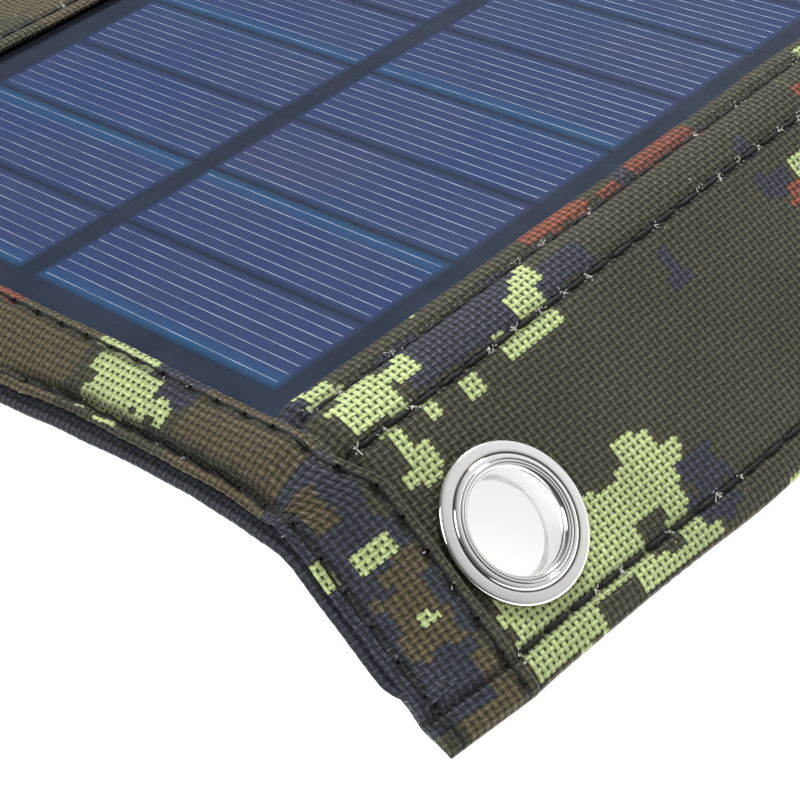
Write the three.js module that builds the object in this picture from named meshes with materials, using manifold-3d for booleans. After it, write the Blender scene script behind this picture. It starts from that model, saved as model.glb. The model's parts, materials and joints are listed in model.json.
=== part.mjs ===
// Folding solar charger for camping: four framed solar leaves in a cloth strip, with an eyelet flap
// at each end and a flat pouch on the rear flap that holds the USB controller.
// Millimetres. +X runs along the strip towards the front flap, +Y across it, +Z up.
// The origin is on the ground, under the middle of the unfolded strip.
import * as THREE from 'three';
import { mergeVertices } from 'three/addons/utils/BufferGeometryUtils.js';
import Module from 'manifold-3d';

const wasm = await Module();
wasm.setup();

// ---- driving dimensions -------------------------------------------------------------------------

const GAP = 0.3; // between pieces that touch in the real object
const CLOTH = 0.7; // one layer of coated canvas with its folded hem

// leaf, seen from above; half sizes are from the leaf's middle
const LEAF_COUNT = 4;
const LEAF_HALF_WIDTH = 98.5;
const SEAM_HALF = 53.3; // outer seam of the two side strips
const HINGE_HALF = 5; // cloth from that seam to the fold axis
const WINDOW_HALF_X = 44.2;
const WINDOW_HALF_Y = 87.6;
const LAMINATE_HALF_X = 46;
const LAMINATE_HALF_Y = 90.4;
const BOARD_HALF_X = 50;
const BOARD_HALF_Y = 90.3;

// leaf, from the ground up: bottom and top of each layer
const BACK_CLOTH_Z = [0, 0.7];
const BOARD_Z = [1.0, 3.0];
const BACKSHEET_Z = [3.3, 3.9];
const CELL_Z = [4.2, 4.5];
const FILM_Z = [4.8, 5.2];
const FRONT_CLOTH_Z = [5.5, 6.2];
const HINGE_CLOTH_Z = [3.4, 4.1];
const LEAD_Z = [1.0, 1.4];

// solar cells of one leaf
const CELL_COLUMNS = 2;
const CELL_ROWS = 12;
const CELL_SIZE_X = 39;
const CELL_SIZE_Y = 12.7;
const CELL_PITCH_X = 41.2;
const CELL_PITCH_Y = 13.85;
const TAB_WIDTH = 3;
const TAB_OFFSET = 10; // of each of a cell's two tabs from its middle
const TAB_OVERLAP = 2;
const TAB_Z = [4.2, 4.4];
const COLUMN_LINK_END = 3; // past the leaf's middle

// flat lead that joins the leaves under the far band
const LEAD_Y = [90.7, 95.7];
const LEAD_FRONT_END = 45; // where it stops on leaf 1, from the leaf's middle

// folds: height of each axis, clear of everything that closes around it
const UP_FOLD_AXIS_Z = 6.8;
const DOWN_FOLD_AXIS_Z = -0.6;
const POUCH_SIDE_FOLD_AXIS_Z = 9.0; // leaf 3 to leaf 4, which also clears the pouch

// front flap, laid flat; lengths are from its fold axis
const FLAP_AXIS_X = SEAM_HALF - 1;
const FLAP_AXIS_Z = -0.3;
const FLAP_LENGTH = 27.3;
const FLAP_HALF_WIDTH = 97.5;
const FLAP_Z = [1.6, 3.8];
const FLAP_DROP = THREE.MathUtils.degToRad(45);
const FLAP_EYELET = 12.3;
const EYELET_Y = 76;

// eyelet
const EYELET_BORE = 5.35;
const EYELET_TUBE = 5.95;
const EYELET_FLANGE = 8.45;
const EYELET_HOLE = 6.3;
const EYELET_CROWN = 1.3; // height of the flange above the cloth
const WASHER_OUTER = 8;
const WASHER_THICKNESS = 0.5;
const EYELET_SEGMENTS = 28;

// rear flap; lengths are from its fold axis
const REAR_LENGTH = 62;
const REAR_Z = [0.9, 2.3];
const REAR_EYELET = 47;
const REAR_LEAD_X = [1.5, 6.5];
const REAR_LEAD_END = 20;
const REAR_LEAD_END_Y = [-26, -21];
const REAR_RISER_X = [16, 19];

// pouch on the rear flap
const POUCH_X = [8, 52];
const POUCH_HALF_Y = 60;
const POUCH_Z = [2.6, 10.2];
const POUCH_WALL = 0.9;
const LID_Z = [10.5, 11.1];
const LID_LIP = 54.9;
const LID_LIP_BOTTOM = 3.2;
const LID_LIP_WALL = 0.8;
const STRIP_HALF_Y = 45;
const STRIP_Z = [4.4, 8.6];
const STRIP_THICKNESS = 0.6;

// controller in the pouch
const CASE_X = [13, 47];
const CASE_Y = [-56, 4];
const CASE_Z = [2.6, 10.2];
const CASE_SPLIT = 6.3;
const CASE_WALL = 0.8;
const SOCKET_X = [22, 38];
const SOCKET_SIZE = [13.2, 5.4];
const SOCKET_DEPTH = 13;
const SOCKET_Z = 3.6;
const SOCKET_WALL = 0.4;
const TONGUE = [11, 1.6, 9];
const CIRCUIT_Z = [3.6, 4.4];

// ---- materials ----------------------------------------------------------------------------------

function finish(color, roughness, metalness) {
  return new THREE.MeshStandardMaterial({ color, roughness, metalness });
}

const CAMO_CLOTH = finish(0x4f5630, 0.85, 0);
const BACK_CLOTH = finish(0x3a3d33, 0.85, 0);
const FILM = finish(0x8a94c8, 0.12, 0);
const SILICON = finish(0x30348a, 0.3, 0.1);
const BACKSHEET = finish(0x4b535c, 0.5, 0);
const BOARD = finish(0x2b2c2a, 0.8, 0);
const LEAD = finish(0x20201e, 0.6, 0);
const NICKEL = finish(0xc9c6bd, 0.2, 1);
const CASE = finish(0x1c1d1e, 0.45, 0);
const CIRCUIT = finish(0x1f5a36, 0.5, 0);
const STEEL = finish(0xb8babd, 0.3, 1);
const HOOK_AND_LOOP = finish(0x161714, 0.95, 0);

// ---- shapes -------------------------------------------------------------------------------------

function box([x0, x1], [y0, y1], [z0, z1]) {
  const geometry = new THREE.BoxGeometry(x1 - x0, y1 - y0, z1 - z0);
  return geometry.translate((x0 + x1) / 2, (y0 + y1) / 2, (z0 + z1) / 2);
}

function cylinder(radius, [z0, z1], x, y) {
  const geometry = new THREE.CylinderGeometry(radius, radius, z1 - z0, EYELET_SEGMENTS);
  return geometry.rotateX(Math.PI / 2).translate(x, y, (z0 + z1) / 2);
}

// A ring around +Z from its section's corners, each [radius, height].
function ring(corners, x, y) {
  const outline = corners.map(([radius, height]) => new THREE.Vector2(radius, height));
  outline.push(outline[0].clone());
  const geometry = new THREE.LatheGeometry(outline, EYELET_SEGMENTS);
  return geometry.rotateX(Math.PI / 2).translate(x, y, 0);
}

function toSolid(geometry) {
  const bare = geometry.clone();
  bare.deleteAttribute('normal');
  bare.deleteAttribute('uv');
  const merged = mergeVertices(bare, 1e-4);
  const vertProperties = new Float32Array(merged.attributes.position.array);
  const triVerts = new Uint32Array(merged.index.array);
  return new wasm.Manifold(new wasm.Mesh({ numProp: 3, vertProperties, triVerts }));
}

function toGeometry(solid) {
  const mesh = solid.getMesh();
  const geometry = new THREE.BufferGeometry();
  geometry.setAttribute('position', new THREE.BufferAttribute(mesh.vertProperties, 3));
  geometry.setIndex(new THREE.BufferAttribute(mesh.triVerts, 1));
  geometry.computeVertexNormals();
  return geometry;
}

function join(...geometries) {
  return toGeometry(geometries.map(toSolid).reduce((whole, piece) => whole.add(piece)));
}

function cut(base, ...tools) {
  return toGeometry(tools.map(toSolid).reduce((whole, tool) => whole.subtract(tool), toSolid(base)));
}

function add(group, name, geometry, material) {
  const mesh = new THREE.Mesh(geometry, material);
  mesh.name = name;
  group.add(mesh);
}

function grown([low, high], by) {
  return [low - by, high + by];
}

// ---- leaf ---------------------------------------------------------------------------------------

const LEAF_HALF_LENGTH = SEAM_HALF + HINGE_HALF;
const LEAF_PITCH = 2 * LEAF_HALF_LENGTH;

// Rows of narrow cells in series, held together by pairs of tabs and one link between the two columns.
function cellString() {
  const pieces = [];
  const middleOf = (index, count, pitch) => (index - (count - 1) / 2) * pitch;
  for (let column = 0; column < CELL_COLUMNS; column += 1) {
    const x = middleOf(column, CELL_COLUMNS, CELL_PITCH_X);
    for (let row = 0; row < CELL_ROWS; row += 1) {
      const y = middleOf(row, CELL_ROWS, CELL_PITCH_Y);
      const spanX = [x - CELL_SIZE_X / 2, x + CELL_SIZE_X / 2];
      pieces.push(box(spanX, [y - CELL_SIZE_Y / 2, y + CELL_SIZE_Y / 2], CELL_Z));
      if (row === 0) continue;
      const seam = y - CELL_PITCH_Y / 2;
      for (const side of [-TAB_OFFSET, TAB_OFFSET]) {
        const tabX = [x + side - TAB_WIDTH / 2, x + side + TAB_WIDTH / 2];
        pieces.push(box(tabX, [seam - TAB_OVERLAP, seam + TAB_OVERLAP], TAB_Z));
      }
    }
  }
  const linkY = middleOf(CELL_ROWS - 1, CELL_ROWS, CELL_PITCH_Y);
  const linkX = [-CELL_PITCH_X / 2 + CELL_SIZE_X / 2 - TAB_OVERLAP, COLUMN_LINK_END];
  pieces.push(box(linkX, [linkY - TAB_WIDTH / 2, linkY + TAB_WIDTH / 2], TAB_Z));
  return join(...pieces);
}

// Cloth strip beside the window: it lies over the laminate's edge, turns down and runs on to the
// fold axis at half height. side is 1 towards the front, -1 towards the rear.
function sideStrip(side, end, hasHinge) {
  const mirror = (low, high) => (side > 0 ? [low, high] : [-high, -low]);
  const along = [-WINDOW_HALF_Y + GAP, WINDOW_HALF_Y - GAP];
  const turn = hasHinge ? SEAM_HALF - 1 : end;
  const foot = hasHinge ? HINGE_CLOTH_Z[0] : LEAD_Z[0];
  const top = box(mirror(WINDOW_HALF_X, turn), along, FRONT_CLOTH_Z);
  const wall = box(mirror(turn - CLOTH, turn), along, [foot, FRONT_CLOTH_Z[1]]);
  if (!hasHinge) return join(top, wall);
  return join(top, wall, box(mirror(turn - CLOTH, end), along, HINGE_CLOTH_Z));
}

// Band along a long edge: it covers the laminate's end and turns down over the leaf's edge.
function edgeBand(side, span) {
  const mirror = (low, high) => (side > 0 ? [low, high] : [-high, -low]);
  const top = box(span, mirror(WINDOW_HALF_Y, LEAF_HALF_WIDTH), FRONT_CLOTH_Z);
  const wall = box(span, mirror(LEAF_HALF_WIDTH - CLOTH, LEAF_HALF_WIDTH), [LEAD_Z[0], FRONT_CLOTH_Z[1]]);
  return join(top, wall);
}

// The lead with the tail that rises to the laminate's terminals.
function flatLead(span) {
  const tail = box([-2, 2], [LEAD_Y[0], LEAD_Y[0] + 1], [LEAD_Z[0], BACKSHEET_Z[1]]);
  return join(box(span, LEAD_Y, LEAD_Z), tail);
}

// One leaf about its own middle. span is where its cloth ends towards the rear and the front.
function buildLeaf(number, span, frontHinge) {
  const leaf = new THREE.Group();
  const name = (piece) => `leaf_${number}_${piece}`;
  const across = (half) => [-half, half];
  const leadSpan = [span[0], number === 1 ? LEAD_FRONT_END : span[1]];
  const halfY = LEAF_HALF_WIDTH;
  add(leaf, name('back_cloth'), box(span, across(halfY), BACK_CLOTH_Z), BACK_CLOTH);
  add(leaf, name('stiffener_board'), box(across(BOARD_HALF_X), across(BOARD_HALF_Y), BOARD_Z), BOARD);
  const laminate = (layer) => box(across(LAMINATE_HALF_X), across(LAMINATE_HALF_Y), layer);
  add(leaf, name('backsheet'), laminate(BACKSHEET_Z), BACKSHEET);
  add(leaf, name('cell_string'), cellString(), SILICON);
  add(leaf, name('front_film'), laminate(FILM_Z), FILM);
  add(leaf, name('front_strip'), sideStrip(1, span[1], frontHinge), CAMO_CLOTH);
  add(leaf, name('rear_strip'), sideStrip(-1, -span[0], true), CAMO_CLOTH);
  add(leaf, name('near_band'), edgeBand(-1, span), CAMO_CLOTH);
  add(leaf, name('far_band'), edgeBand(1, span), CAMO_CLOTH);
  add(leaf, name('flat_lead'), flatLead(leadSpan), LEAD);
  return leaf;
}

// ---- eyelets ------------------------------------------------------------------------------------

// Flanged tube through the cloth and the washer it is set in. cloth is the bottom and top of the flap.
function addEyelet(group, name, x, y, cloth) {
  const foot = cloth[0] - GAP - WASHER_THICKNESS;
  const seat = cloth[1] + GAP;
  const crown = cloth[1] + EYELET_CROWN;
  const barrel = [
    [EYELET_BORE, foot],
    [EYELET_TUBE, foot],
    [EYELET_TUBE, seat],
    [EYELET_FLANGE - 0.25, seat],
    [EYELET_FLANGE, seat + 0.25],
    [EYELET_FLANGE - 0.2, crown - 0.35],
    [EYELET_FLANGE - 0.9, crown],
    [EYELET_BORE + 0.8, crown],
    [EYELET_BORE, crown - 0.6],
  ];
  const washer = [
    [EYELET_HOLE, foot],
    [WASHER_OUTER - 0.3, foot],
    [WASHER_OUTER, foot + WASHER_THICKNESS],
    [EYELET_HOLE, foot + WASHER_THICKNESS],
  ];
  add(group, `${name}_barrel`, ring(barrel, x, y), NICKEL);
  add(group, `${name}_washer`, ring(washer, x, y), NICKEL);
}

function eyeletHoles(x, cloth) {
  return [-EYELET_Y, EYELET_Y].map((y) => cylinder(EYELET_HOLE, grown(cloth, 1), x, y));
}

// ---- flaps --------------------------------------------------------------------------------------

// Front flap about its fold axis, laid flat.
function buildFrontFlap() {
  const flap = new THREE.Group();
  const cloth = [FLAP_Z[0] - FLAP_AXIS_Z, FLAP_Z[1] - FLAP_AXIS_Z];
  const sheet = box([GAP / 2, FLAP_LENGTH], [-FLAP_HALF_WIDTH, FLAP_HALF_WIDTH], cloth);
  add(flap, 'front_flap_cloth', cut(sheet, ...eyeletHoles(FLAP_EYELET, cloth)), CAMO_CLOTH);
  addEyelet(flap, 'front_near_eyelet', FLAP_EYELET, -EYELET_Y, cloth);
  addEyelet(flap, 'front_far_eyelet', FLAP_EYELET, EYELET_Y, cloth);
  return flap;
}

// A range of distances from the rear fold axis, as a range of x.
function rearwards([near, far]) {
  return [-far, -near];
}

// Rear flap about its fold axis, at ground level, with the last stretch of the lead in a groove.
function buildRearFlap() {
  const flap = new THREE.Group();
  const leadZ = [REAR_Z[0], REAR_Z[0] + LEAD_Z[1] - LEAD_Z[0]];
  const runs = [
    [[GAP / 2, REAR_LEAD_X[1]], LEAD_Y],
    [REAR_LEAD_X, [REAR_LEAD_END_Y[0], LEAD_Y[1]]],
    [[REAR_LEAD_X[0], REAR_LEAD_END], REAR_LEAD_END_Y],
  ];
  const riserY = grown(REAR_LEAD_END_Y, -1);
  const riserZ = [REAR_Z[0], POUCH_Z[0]];
  const riser = box(rearwards(REAR_RISER_X), riserY, riserZ);
  const lead = join(...runs.map(([x, y]) => box(rearwards(x), y, leadZ)), riser);
  const grooves = runs.map(([x, y]) => {
    return box(rearwards(grown(x, GAP)), grown(y, GAP), [REAR_Z[0] - 1, leadZ[1] + GAP]);
  });
  const riserHole = box(rearwards(grown(REAR_RISER_X, GAP)), grown(riserY, GAP), grown(REAR_Z, 1));
  const sheet = box(rearwards([GAP / 2, REAR_LENGTH]), [-FLAP_HALF_WIDTH, FLAP_HALF_WIDTH], REAR_Z);
  const cloth = cut(sheet, ...eyeletHoles(-REAR_EYELET, REAR_Z), ...grooves, riserHole);
  add(flap, 'rear_flap_cloth', cloth, CAMO_CLOTH);
  add(flap, 'rear_flap_lead', lead, LEAD);
  addEyelet(flap, 'rear_near_eyelet', -REAR_EYELET, -EYELET_Y, REAR_Z);
  addEyelet(flap, 'rear_far_eyelet', -REAR_EYELET, EYELET_Y, REAR_Z);
  return flap;
}

// ---- pouch and controller -----------------------------------------------------------------------

function addPouch(group) {
  const halfY = [-POUCH_HALF_Y, POUCH_HALF_Y];
  const stripY = [-STRIP_HALF_Y, STRIP_HALF_Y];
  const outside = box(rearwards(POUCH_X), halfY, POUCH_Z);
  const inside = box(rearwards(grown(POUCH_X, -POUCH_WALL)), grown(halfY, -POUCH_WALL), grown(POUCH_Z, 1));
  add(group, 'pouch_wall', cut(outside, inside), CAMO_CLOTH);
  const loopX = [POUCH_X[1] + GAP, POUCH_X[1] + GAP + STRIP_THICKNESS];
  add(group, 'pouch_loop_strip', box(rearwards(loopX), stripY, STRIP_Z), HOOK_AND_LOOP);
  const lidTop = box(rearwards([POUCH_X[0], LID_LIP]), halfY, LID_Z);
  const lipX = [LID_LIP - LID_LIP_WALL, LID_LIP];
  const lip = box(rearwards(lipX), halfY, [LID_LIP_BOTTOM, LID_Z[1]]);
  add(group, 'pouch_lid', join(lidTop, lip), CAMO_CLOTH);
  const hookX = [lipX[0] - GAP - STRIP_THICKNESS, lipX[0] - GAP];
  add(group, 'lid_hook_strip', box(rearwards(hookX), stripY, STRIP_Z), HOOK_AND_LOOP);
}

// The two sockets' outer boxes, grown by a clearance, as [x, y, z] ranges.
function socketBoxes(clearance) {
  return SOCKET_X.map((middle) => [
    rearwards([middle - SOCKET_SIZE[0] / 2 - clearance, middle + SOCKET_SIZE[0] / 2 + clearance]),
    [CASE_Y[1] - SOCKET_DEPTH - clearance, CASE_Y[1] + clearance],
    [SOCKET_Z - clearance, SOCKET_Z + SOCKET_SIZE[1] + clearance],
  ]);
}

function socket([x, y, z]) {
  const bore = box(grown(x, -SOCKET_WALL), [y[0] + SOCKET_WALL, y[1] + 1], grown(z, -SOCKET_WALL));
  const middleX = (x[0] + x[1]) / 2;
  const middleZ = (z[0] + z[1]) / 2;
  const tongueX = [middleX - TONGUE[0] / 2, middleX + TONGUE[0] / 2];
  const tongueZ = [middleZ - TONGUE[1] / 2, middleZ + TONGUE[1] / 2];
  const tongue = box(tongueX, [y[0] + SOCKET_WALL / 2, y[0] + TONGUE[2]], tongueZ);
  return toGeometry(toSolid(box(x, y, z)).subtract(toSolid(bore)).add(toSolid(tongue)));
}

function addController(group) {
  const rimX = rearwards(CASE_X);
  const insideX = grown(rimX, -CASE_WALL);
  const insideY = grown(CASE_Y, -CASE_WALL);
  const bottomZ = [CASE_Z[0], CASE_SPLIT];
  const topZ = [CASE_SPLIT + GAP, CASE_Z[1]];
  const ports = socketBoxes(GAP).map(([x, y, z]) => box(x, [y[0], y[1] + 1], z));
  const entryY = grown(REAR_LEAD_END_Y, -1);
  const entry = box(rearwards(REAR_RISER_X), entryY, [CASE_Z[0] - 1, CASE_Z[0] + CASE_WALL + 1]);
  const lowerHollow = box(insideX, insideY, [CASE_Z[0] + CASE_WALL, CASE_SPLIT + 1]);
  const upperHollow = box(insideX, insideY, [CASE_SPLIT - 1, CASE_Z[1] - CASE_WALL]);
  const bottom = cut(box(rimX, CASE_Y, bottomZ), lowerHollow, ...ports, entry);
  const top = cut(box(rimX, CASE_Y, topZ), upperHollow, ...ports);
  const circuit = box(grown(insideX, -GAP), grown(insideY, -GAP), CIRCUIT_Z);
  add(group, 'controller_case_bottom', bottom, CASE);
  add(group, 'controller_case_top', top, CASE);
  add(group, 'circuit_board', cut(circuit, ...ports), CIRCUIT);
  socketBoxes(0).forEach((ranges, index) => add(group, `usb_socket_${index + 1}`, socket(ranges), STEEL));
}

// ---- assembly -----------------------------------------------------------------------------------

// The lowest corner of the front flap, from the fold axis between leaf 2 and leaf 1, with leaf 1 level.
function flapToe() {
  const height = FLAP_Z[0] - FLAP_AXIS_Z;
  const x = FLAP_LENGTH * Math.cos(FLAP_DROP) + height * Math.sin(FLAP_DROP);
  const z = height * Math.cos(FLAP_DROP) - FLAP_LENGTH * Math.sin(FLAP_DROP);
  return [LEAF_HALF_LENGTH + FLAP_AXIS_X + x, FLAP_AXIS_Z - UP_FOLD_AXIS_Z + z];
}

// Leaf 1 is raised until the drooping front flap stands on the ground.
const [TOE_X, TOE_Z] = flapToe();
const TOE_REACH = Math.hypot(TOE_X, TOE_Z);
const LEAF_1_TILT = Math.atan2(-TOE_Z, TOE_X) - Math.asin(UP_FOLD_AXIS_Z / TOE_REACH);

// Distances along the strip from the fold axis between leaf 1 and leaf 2.
const FRONT_CORNER_X = LEAF_HALF_LENGTH + FLAP_AXIS_X + FLAP_LENGTH * Math.cos(FLAP_DROP)
  + (FLAP_Z[1] - FLAP_AXIS_Z) * Math.sin(FLAP_DROP);
const FRONT_CORNER_Z = FLAP_AXIS_Z - UP_FOLD_AXIS_Z - FLAP_LENGTH * Math.sin(FLAP_DROP)
  + (FLAP_Z[1] - FLAP_AXIS_Z) * Math.cos(FLAP_DROP);
const FRONT_END = FRONT_CORNER_X * Math.cos(LEAF_1_TILT) - FRONT_CORNER_Z * Math.sin(LEAF_1_TILT);
const REAR_END = -(LEAF_COUNT - 1) * LEAF_PITCH - REAR_LENGTH;
const FIRST_FOLD_X = -(FRONT_END + REAR_END) / 2;

function buildStrip() {
  const strip = new THREE.Group();
  const half = LEAF_HALF_LENGTH - GAP / 2;

  const raised = new THREE.Group();
  raised.position.set(FIRST_FOLD_X, 0, UP_FOLD_AXIS_Z);
  raised.rotation.y = -LEAF_1_TILT;
  const leaf1 = buildLeaf(1, [-half, FLAP_AXIS_X - GAP / 2], false);
  leaf1.position.set(LEAF_HALF_LENGTH, 0, -UP_FOLD_AXIS_Z);
  const frontFlap = buildFrontFlap();
  frontFlap.position.set(FLAP_AXIS_X, 0, FLAP_AXIS_Z);
  frontFlap.rotation.y = FLAP_DROP;
  leaf1.add(frontFlap);
  raised.add(leaf1);
  strip.add(raised);

  for (let number = 2; number <= LEAF_COUNT; number += 1) {
    const leaf = buildLeaf(number, [-half, half], true);
    leaf.position.x = FIRST_FOLD_X - LEAF_HALF_LENGTH - (number - 2) * LEAF_PITCH;
    strip.add(leaf);
  }

  const rearFlap = buildRearFlap();
  addPouch(rearFlap);
  addController(rearFlap);
  rearFlap.position.x = FIRST_FOLD_X - (LEAF_COUNT - 1) * LEAF_PITCH;
  strip.add(rearFlap);
  return strip;
}

export default buildStrip();
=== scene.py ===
"""Looks for the folding solar charger: cloth, laminates, eyelets, stitching and the rear pouch.

Shapes are worked out in millimetres and written to meshes in metres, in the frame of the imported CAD.
A point on the unfolded strip is (x, y, h): x as if the raised leaf 1 were level, h above the ground side.
"""

import json
import math

import bpy
import numpy as np
from mathutils import Matrix, Vector


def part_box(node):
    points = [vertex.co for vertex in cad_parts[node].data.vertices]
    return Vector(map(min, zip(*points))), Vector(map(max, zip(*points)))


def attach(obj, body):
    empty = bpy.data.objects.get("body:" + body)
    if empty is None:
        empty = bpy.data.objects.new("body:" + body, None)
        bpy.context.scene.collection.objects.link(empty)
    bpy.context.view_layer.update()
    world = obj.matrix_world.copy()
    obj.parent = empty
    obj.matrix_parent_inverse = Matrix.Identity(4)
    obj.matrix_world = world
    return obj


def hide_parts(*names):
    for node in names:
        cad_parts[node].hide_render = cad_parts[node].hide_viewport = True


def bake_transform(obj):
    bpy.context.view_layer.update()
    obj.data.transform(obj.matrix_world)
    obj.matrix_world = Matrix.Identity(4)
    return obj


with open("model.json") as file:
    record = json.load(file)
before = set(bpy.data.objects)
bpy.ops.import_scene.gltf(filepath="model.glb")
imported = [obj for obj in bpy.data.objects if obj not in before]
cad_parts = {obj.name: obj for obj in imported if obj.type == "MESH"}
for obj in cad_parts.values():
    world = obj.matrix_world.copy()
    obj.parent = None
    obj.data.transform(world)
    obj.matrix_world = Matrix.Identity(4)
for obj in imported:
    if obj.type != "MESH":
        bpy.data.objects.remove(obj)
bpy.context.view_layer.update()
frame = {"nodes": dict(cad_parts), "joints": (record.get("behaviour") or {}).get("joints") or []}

MM = 0.001

# ---- places taken from the CAD ---------------------------------------------------------------------

JOINTS = {joint["name"]: joint for joint in frame["joints"]}


def box_mm(node):
    """Lowest and highest corners of a CAD node, in millimetres."""
    low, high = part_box(node)
    return np.array(low) / MM, np.array(high) / MM


def pivot_mm(joint):
    """Place of a fold axis in the XZ plane, in millimetres."""
    x, _, z = JOINTS[joint]["pos_m"]
    return x / MM, z / MM


FOLDS = {n: pivot_mm(f"fold_{n}_{n + 1}") for n in (1, 2, 3)}  # by the leaf in front of the fold
FIRST_FOLD = FOLDS[1]
REAR_FOLD = pivot_mm("rear_flap_fold")
PITCH = FIRST_FOLD[0] - FOLDS[2][0]
LEAF_1_TILT = math.radians(-JOINTS["fold_1_2"]["range_deg"][0])
FLAP_DROP = math.radians(-JOINTS["front_flap_fold"]["range_deg"][0])
MIDDLES = {n: FIRST_FOLD[0] + PITCH / 2 - (n - 1) * PITCH for n in (1, 2, 3, 4)}
FRONT = MIDDLES[1]

# ---- cloth sizes, millimetres ----------------------------------------------------------------------

YARN_X, YARN_Y = 0.80, 0.86  # pitch of the yarns that run across the strip and along it
INNER_SEAM, OUTER_SEAM = 47.2, 53.3  # of the side strips, from the leaf's middle
OUTER_SEAM_H = 4.5  # height of the cloth at the outer seam, where the front flap starts to drop
FLAP_AXIS, FLAP_AXIS_H = 52.3, -0.3  # of the front flap's fold, from leaf 1's middle and ground side
FLAP_END = 83.35  # along the cloth, from leaf 1's middle
FLAP_SEAM = 79.2
BAND_INNER, BAND_OUTER = 87.5, 97.2  # edges of the bands, from the strip's centre line
BAND_INNER_SEAM, BAND_OUTER_SEAM = 1.75, 1.5  # from those edges
END_RADIUS = 1.3  # how far from its end a band starts to round over
FRONT_END_MIDDLE, REAR_END_MIDDLE = 3.2, 1.6  # heights of the bands' ends
BLEND_REACH = 4.6  # cloth on each side of a fold that bends
EYELET_Y = 76.0
FRONT_EYELET, REAR_EYELET = 12.3, 47.0  # from the flap's fold axis
EYELET_CUT = 6.9  # radius of the hole in the cloth
REAR_END = 62.0  # from the rear flap's fold axis
REAR_BAND_END = REAR_FOLD[0] - REAR_END - MIDDLES[4]  # from leaf 4's middle
REAR_BLEND = (REAR_FOLD[0] + BLEND_REACH, 4.0), (REAR_FOLD[0] - BLEND_REACH, 4.0)
BACK_CORNER = 54.1  # where the back cloth turns down under the front flap
BACK_FLAT_END = 50.4  # where the flat of the back cloth ends; its rolled edges go on
BACK_ROLL_END = 73.2  # where the back cloth's rolled edges end, along the cloth
COVER_HALF = 91.0  # half width of the cloth strips, whose ends lie under the bands
SEAM_WIDTH, SEAM_DEPTH = 0.42, 0.42  # groove that a row of stitches pulls into the cloth
SEAM_REACH, FLAP_SEAM_REACH = 86.6, 84.6  # ends of the rows of stitches, from the centre line
STITCH = 4.0  # from needle hole to needle hole
THREAD_RADIUS = 0.27
FINE, COARSE = 0.5, 1.0  # grid step as a share of the yarn pitch
RELIEF = 0.05  # height of the yarns in the fine meshes

# Sizes that the cloth is cut to.
FRONT_COVER_CUT, FOLD_STRIP_CUT, REAR_COVER_CUT = 71.0, 34.0, 143.0
BAND_CUT, BACK_CUT, FRONT_BACK_CUT = 18.0, 205.0, 50.8

# ---- small maths -----------------------------------------------------------------------------------


def smooth(x, low, high):
    """Smooth step from 0 at low to 1 at high."""
    t = np.clip((np.asarray(x, float) - low) / (high - low), 0.0, 1.0)
    return t * t * (3 - 2 * t)


def ripple(x, y, size, seed):
    """Gentle unevenness between about -1 and 1, with features about size millimetres across."""
    rng = np.random.default_rng(seed)
    total = 0.0
    for _ in range(6):
        angle, phase = rng.uniform(0, 2 * math.pi, 2)
        wave = 2 * math.pi / (size * rng.uniform(0.7, 1.6))
        total = total + np.sin(wave * (x * math.cos(angle) + y * math.sin(angle)) + phase)
    return total / 3.2


def hash_noise(i, j, seed):
    """A repeatable random number from 0 to 1 for each pair of whole numbers."""
    n = (np.asarray(i, np.int64) * 73856093) ^ (np.asarray(j, np.int64) * 19349663) ^ (seed * 83492791)
    n = (n ^ (n >> 13)) * 1274126177 & 0x7FFFFFFF
    n = (n ^ (n >> 15)) * 668265263 & 0x7FFFFFFF
    return ((n ^ (n >> 14)) & 0xFFFF) / 65535.0


def cloud_noise(x, y, size, seed):
    """Smooth value noise from 0 to 1 with cells of the given size."""
    gx, gy = np.asarray(x) / size, np.asarray(y) / size
    i, j = np.floor(gx).astype(int), np.floor(gy).astype(int)
    u, v = smooth(gx - i, 0, 1), smooth(gy - j, 0, 1)
    low = hash_noise(i, j, seed) * (1 - u) + hash_noise(i + 1, j, seed) * u
    high = hash_noise(i, j + 1, seed) * (1 - u) + hash_noise(i + 1, j + 1, seed) * u
    return low * (1 - v) + high * v


def rounded_line(points, step, passes=2):
    """A corner-cut polyline through the points, resampled every step. Works on (..., n, 2) arrays."""
    line = np.asarray(points, float)
    for _ in range(passes):
        a, b = line[..., :-1, :], line[..., 1:, :]
        cut = np.stack([0.75 * a + 0.25 * b, 0.25 * a + 0.75 * b], axis=-2)
        cut = cut.reshape(*line.shape[:-2], -1, 2)
        line = np.concatenate([line[..., :1, :], cut, line[..., -1:, :]], axis=-2)
    if line.ndim > 2:
        return line
    lengths = running_length(line)
    at = np.linspace(0, lengths[-1], max(2, round(lengths[-1] / step) + 1))
    return np.stack([np.interp(at, lengths, line[:, k]) for k in (0, 1)], axis=1)


def running_length(points):
    """Distance travelled along the first axis of a (n, ..., k) array."""
    steps = np.linalg.norm(np.diff(points, axis=0), axis=-1)
    return np.concatenate([np.zeros_like(steps[:1]), np.cumsum(steps, axis=0)])


# ---- from the flat strip to the frame --------------------------------------------------------------


def raise_leaf_1(points):
    """Lifts what lies beyond the first fold, as leaf 1 is raised in the frame."""
    x, y, z = points[..., 0], points[..., 1], points[..., 2]
    turn = LEAF_1_TILT * smooth(x, FIRST_FOLD[0] - BLEND_REACH, FIRST_FOLD[0] + BLEND_REACH)
    dx, dz = x - FIRST_FOLD[0], z - FIRST_FOLD[1]
    lifted_x = FIRST_FOLD[0] + dx * np.cos(turn) - dz * np.sin(turn)
    lifted_z = FIRST_FOLD[1] + dx * np.sin(turn) + dz * np.cos(turn)
    return np.stack([lifted_x, y, lifted_z], axis=-1)


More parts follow.
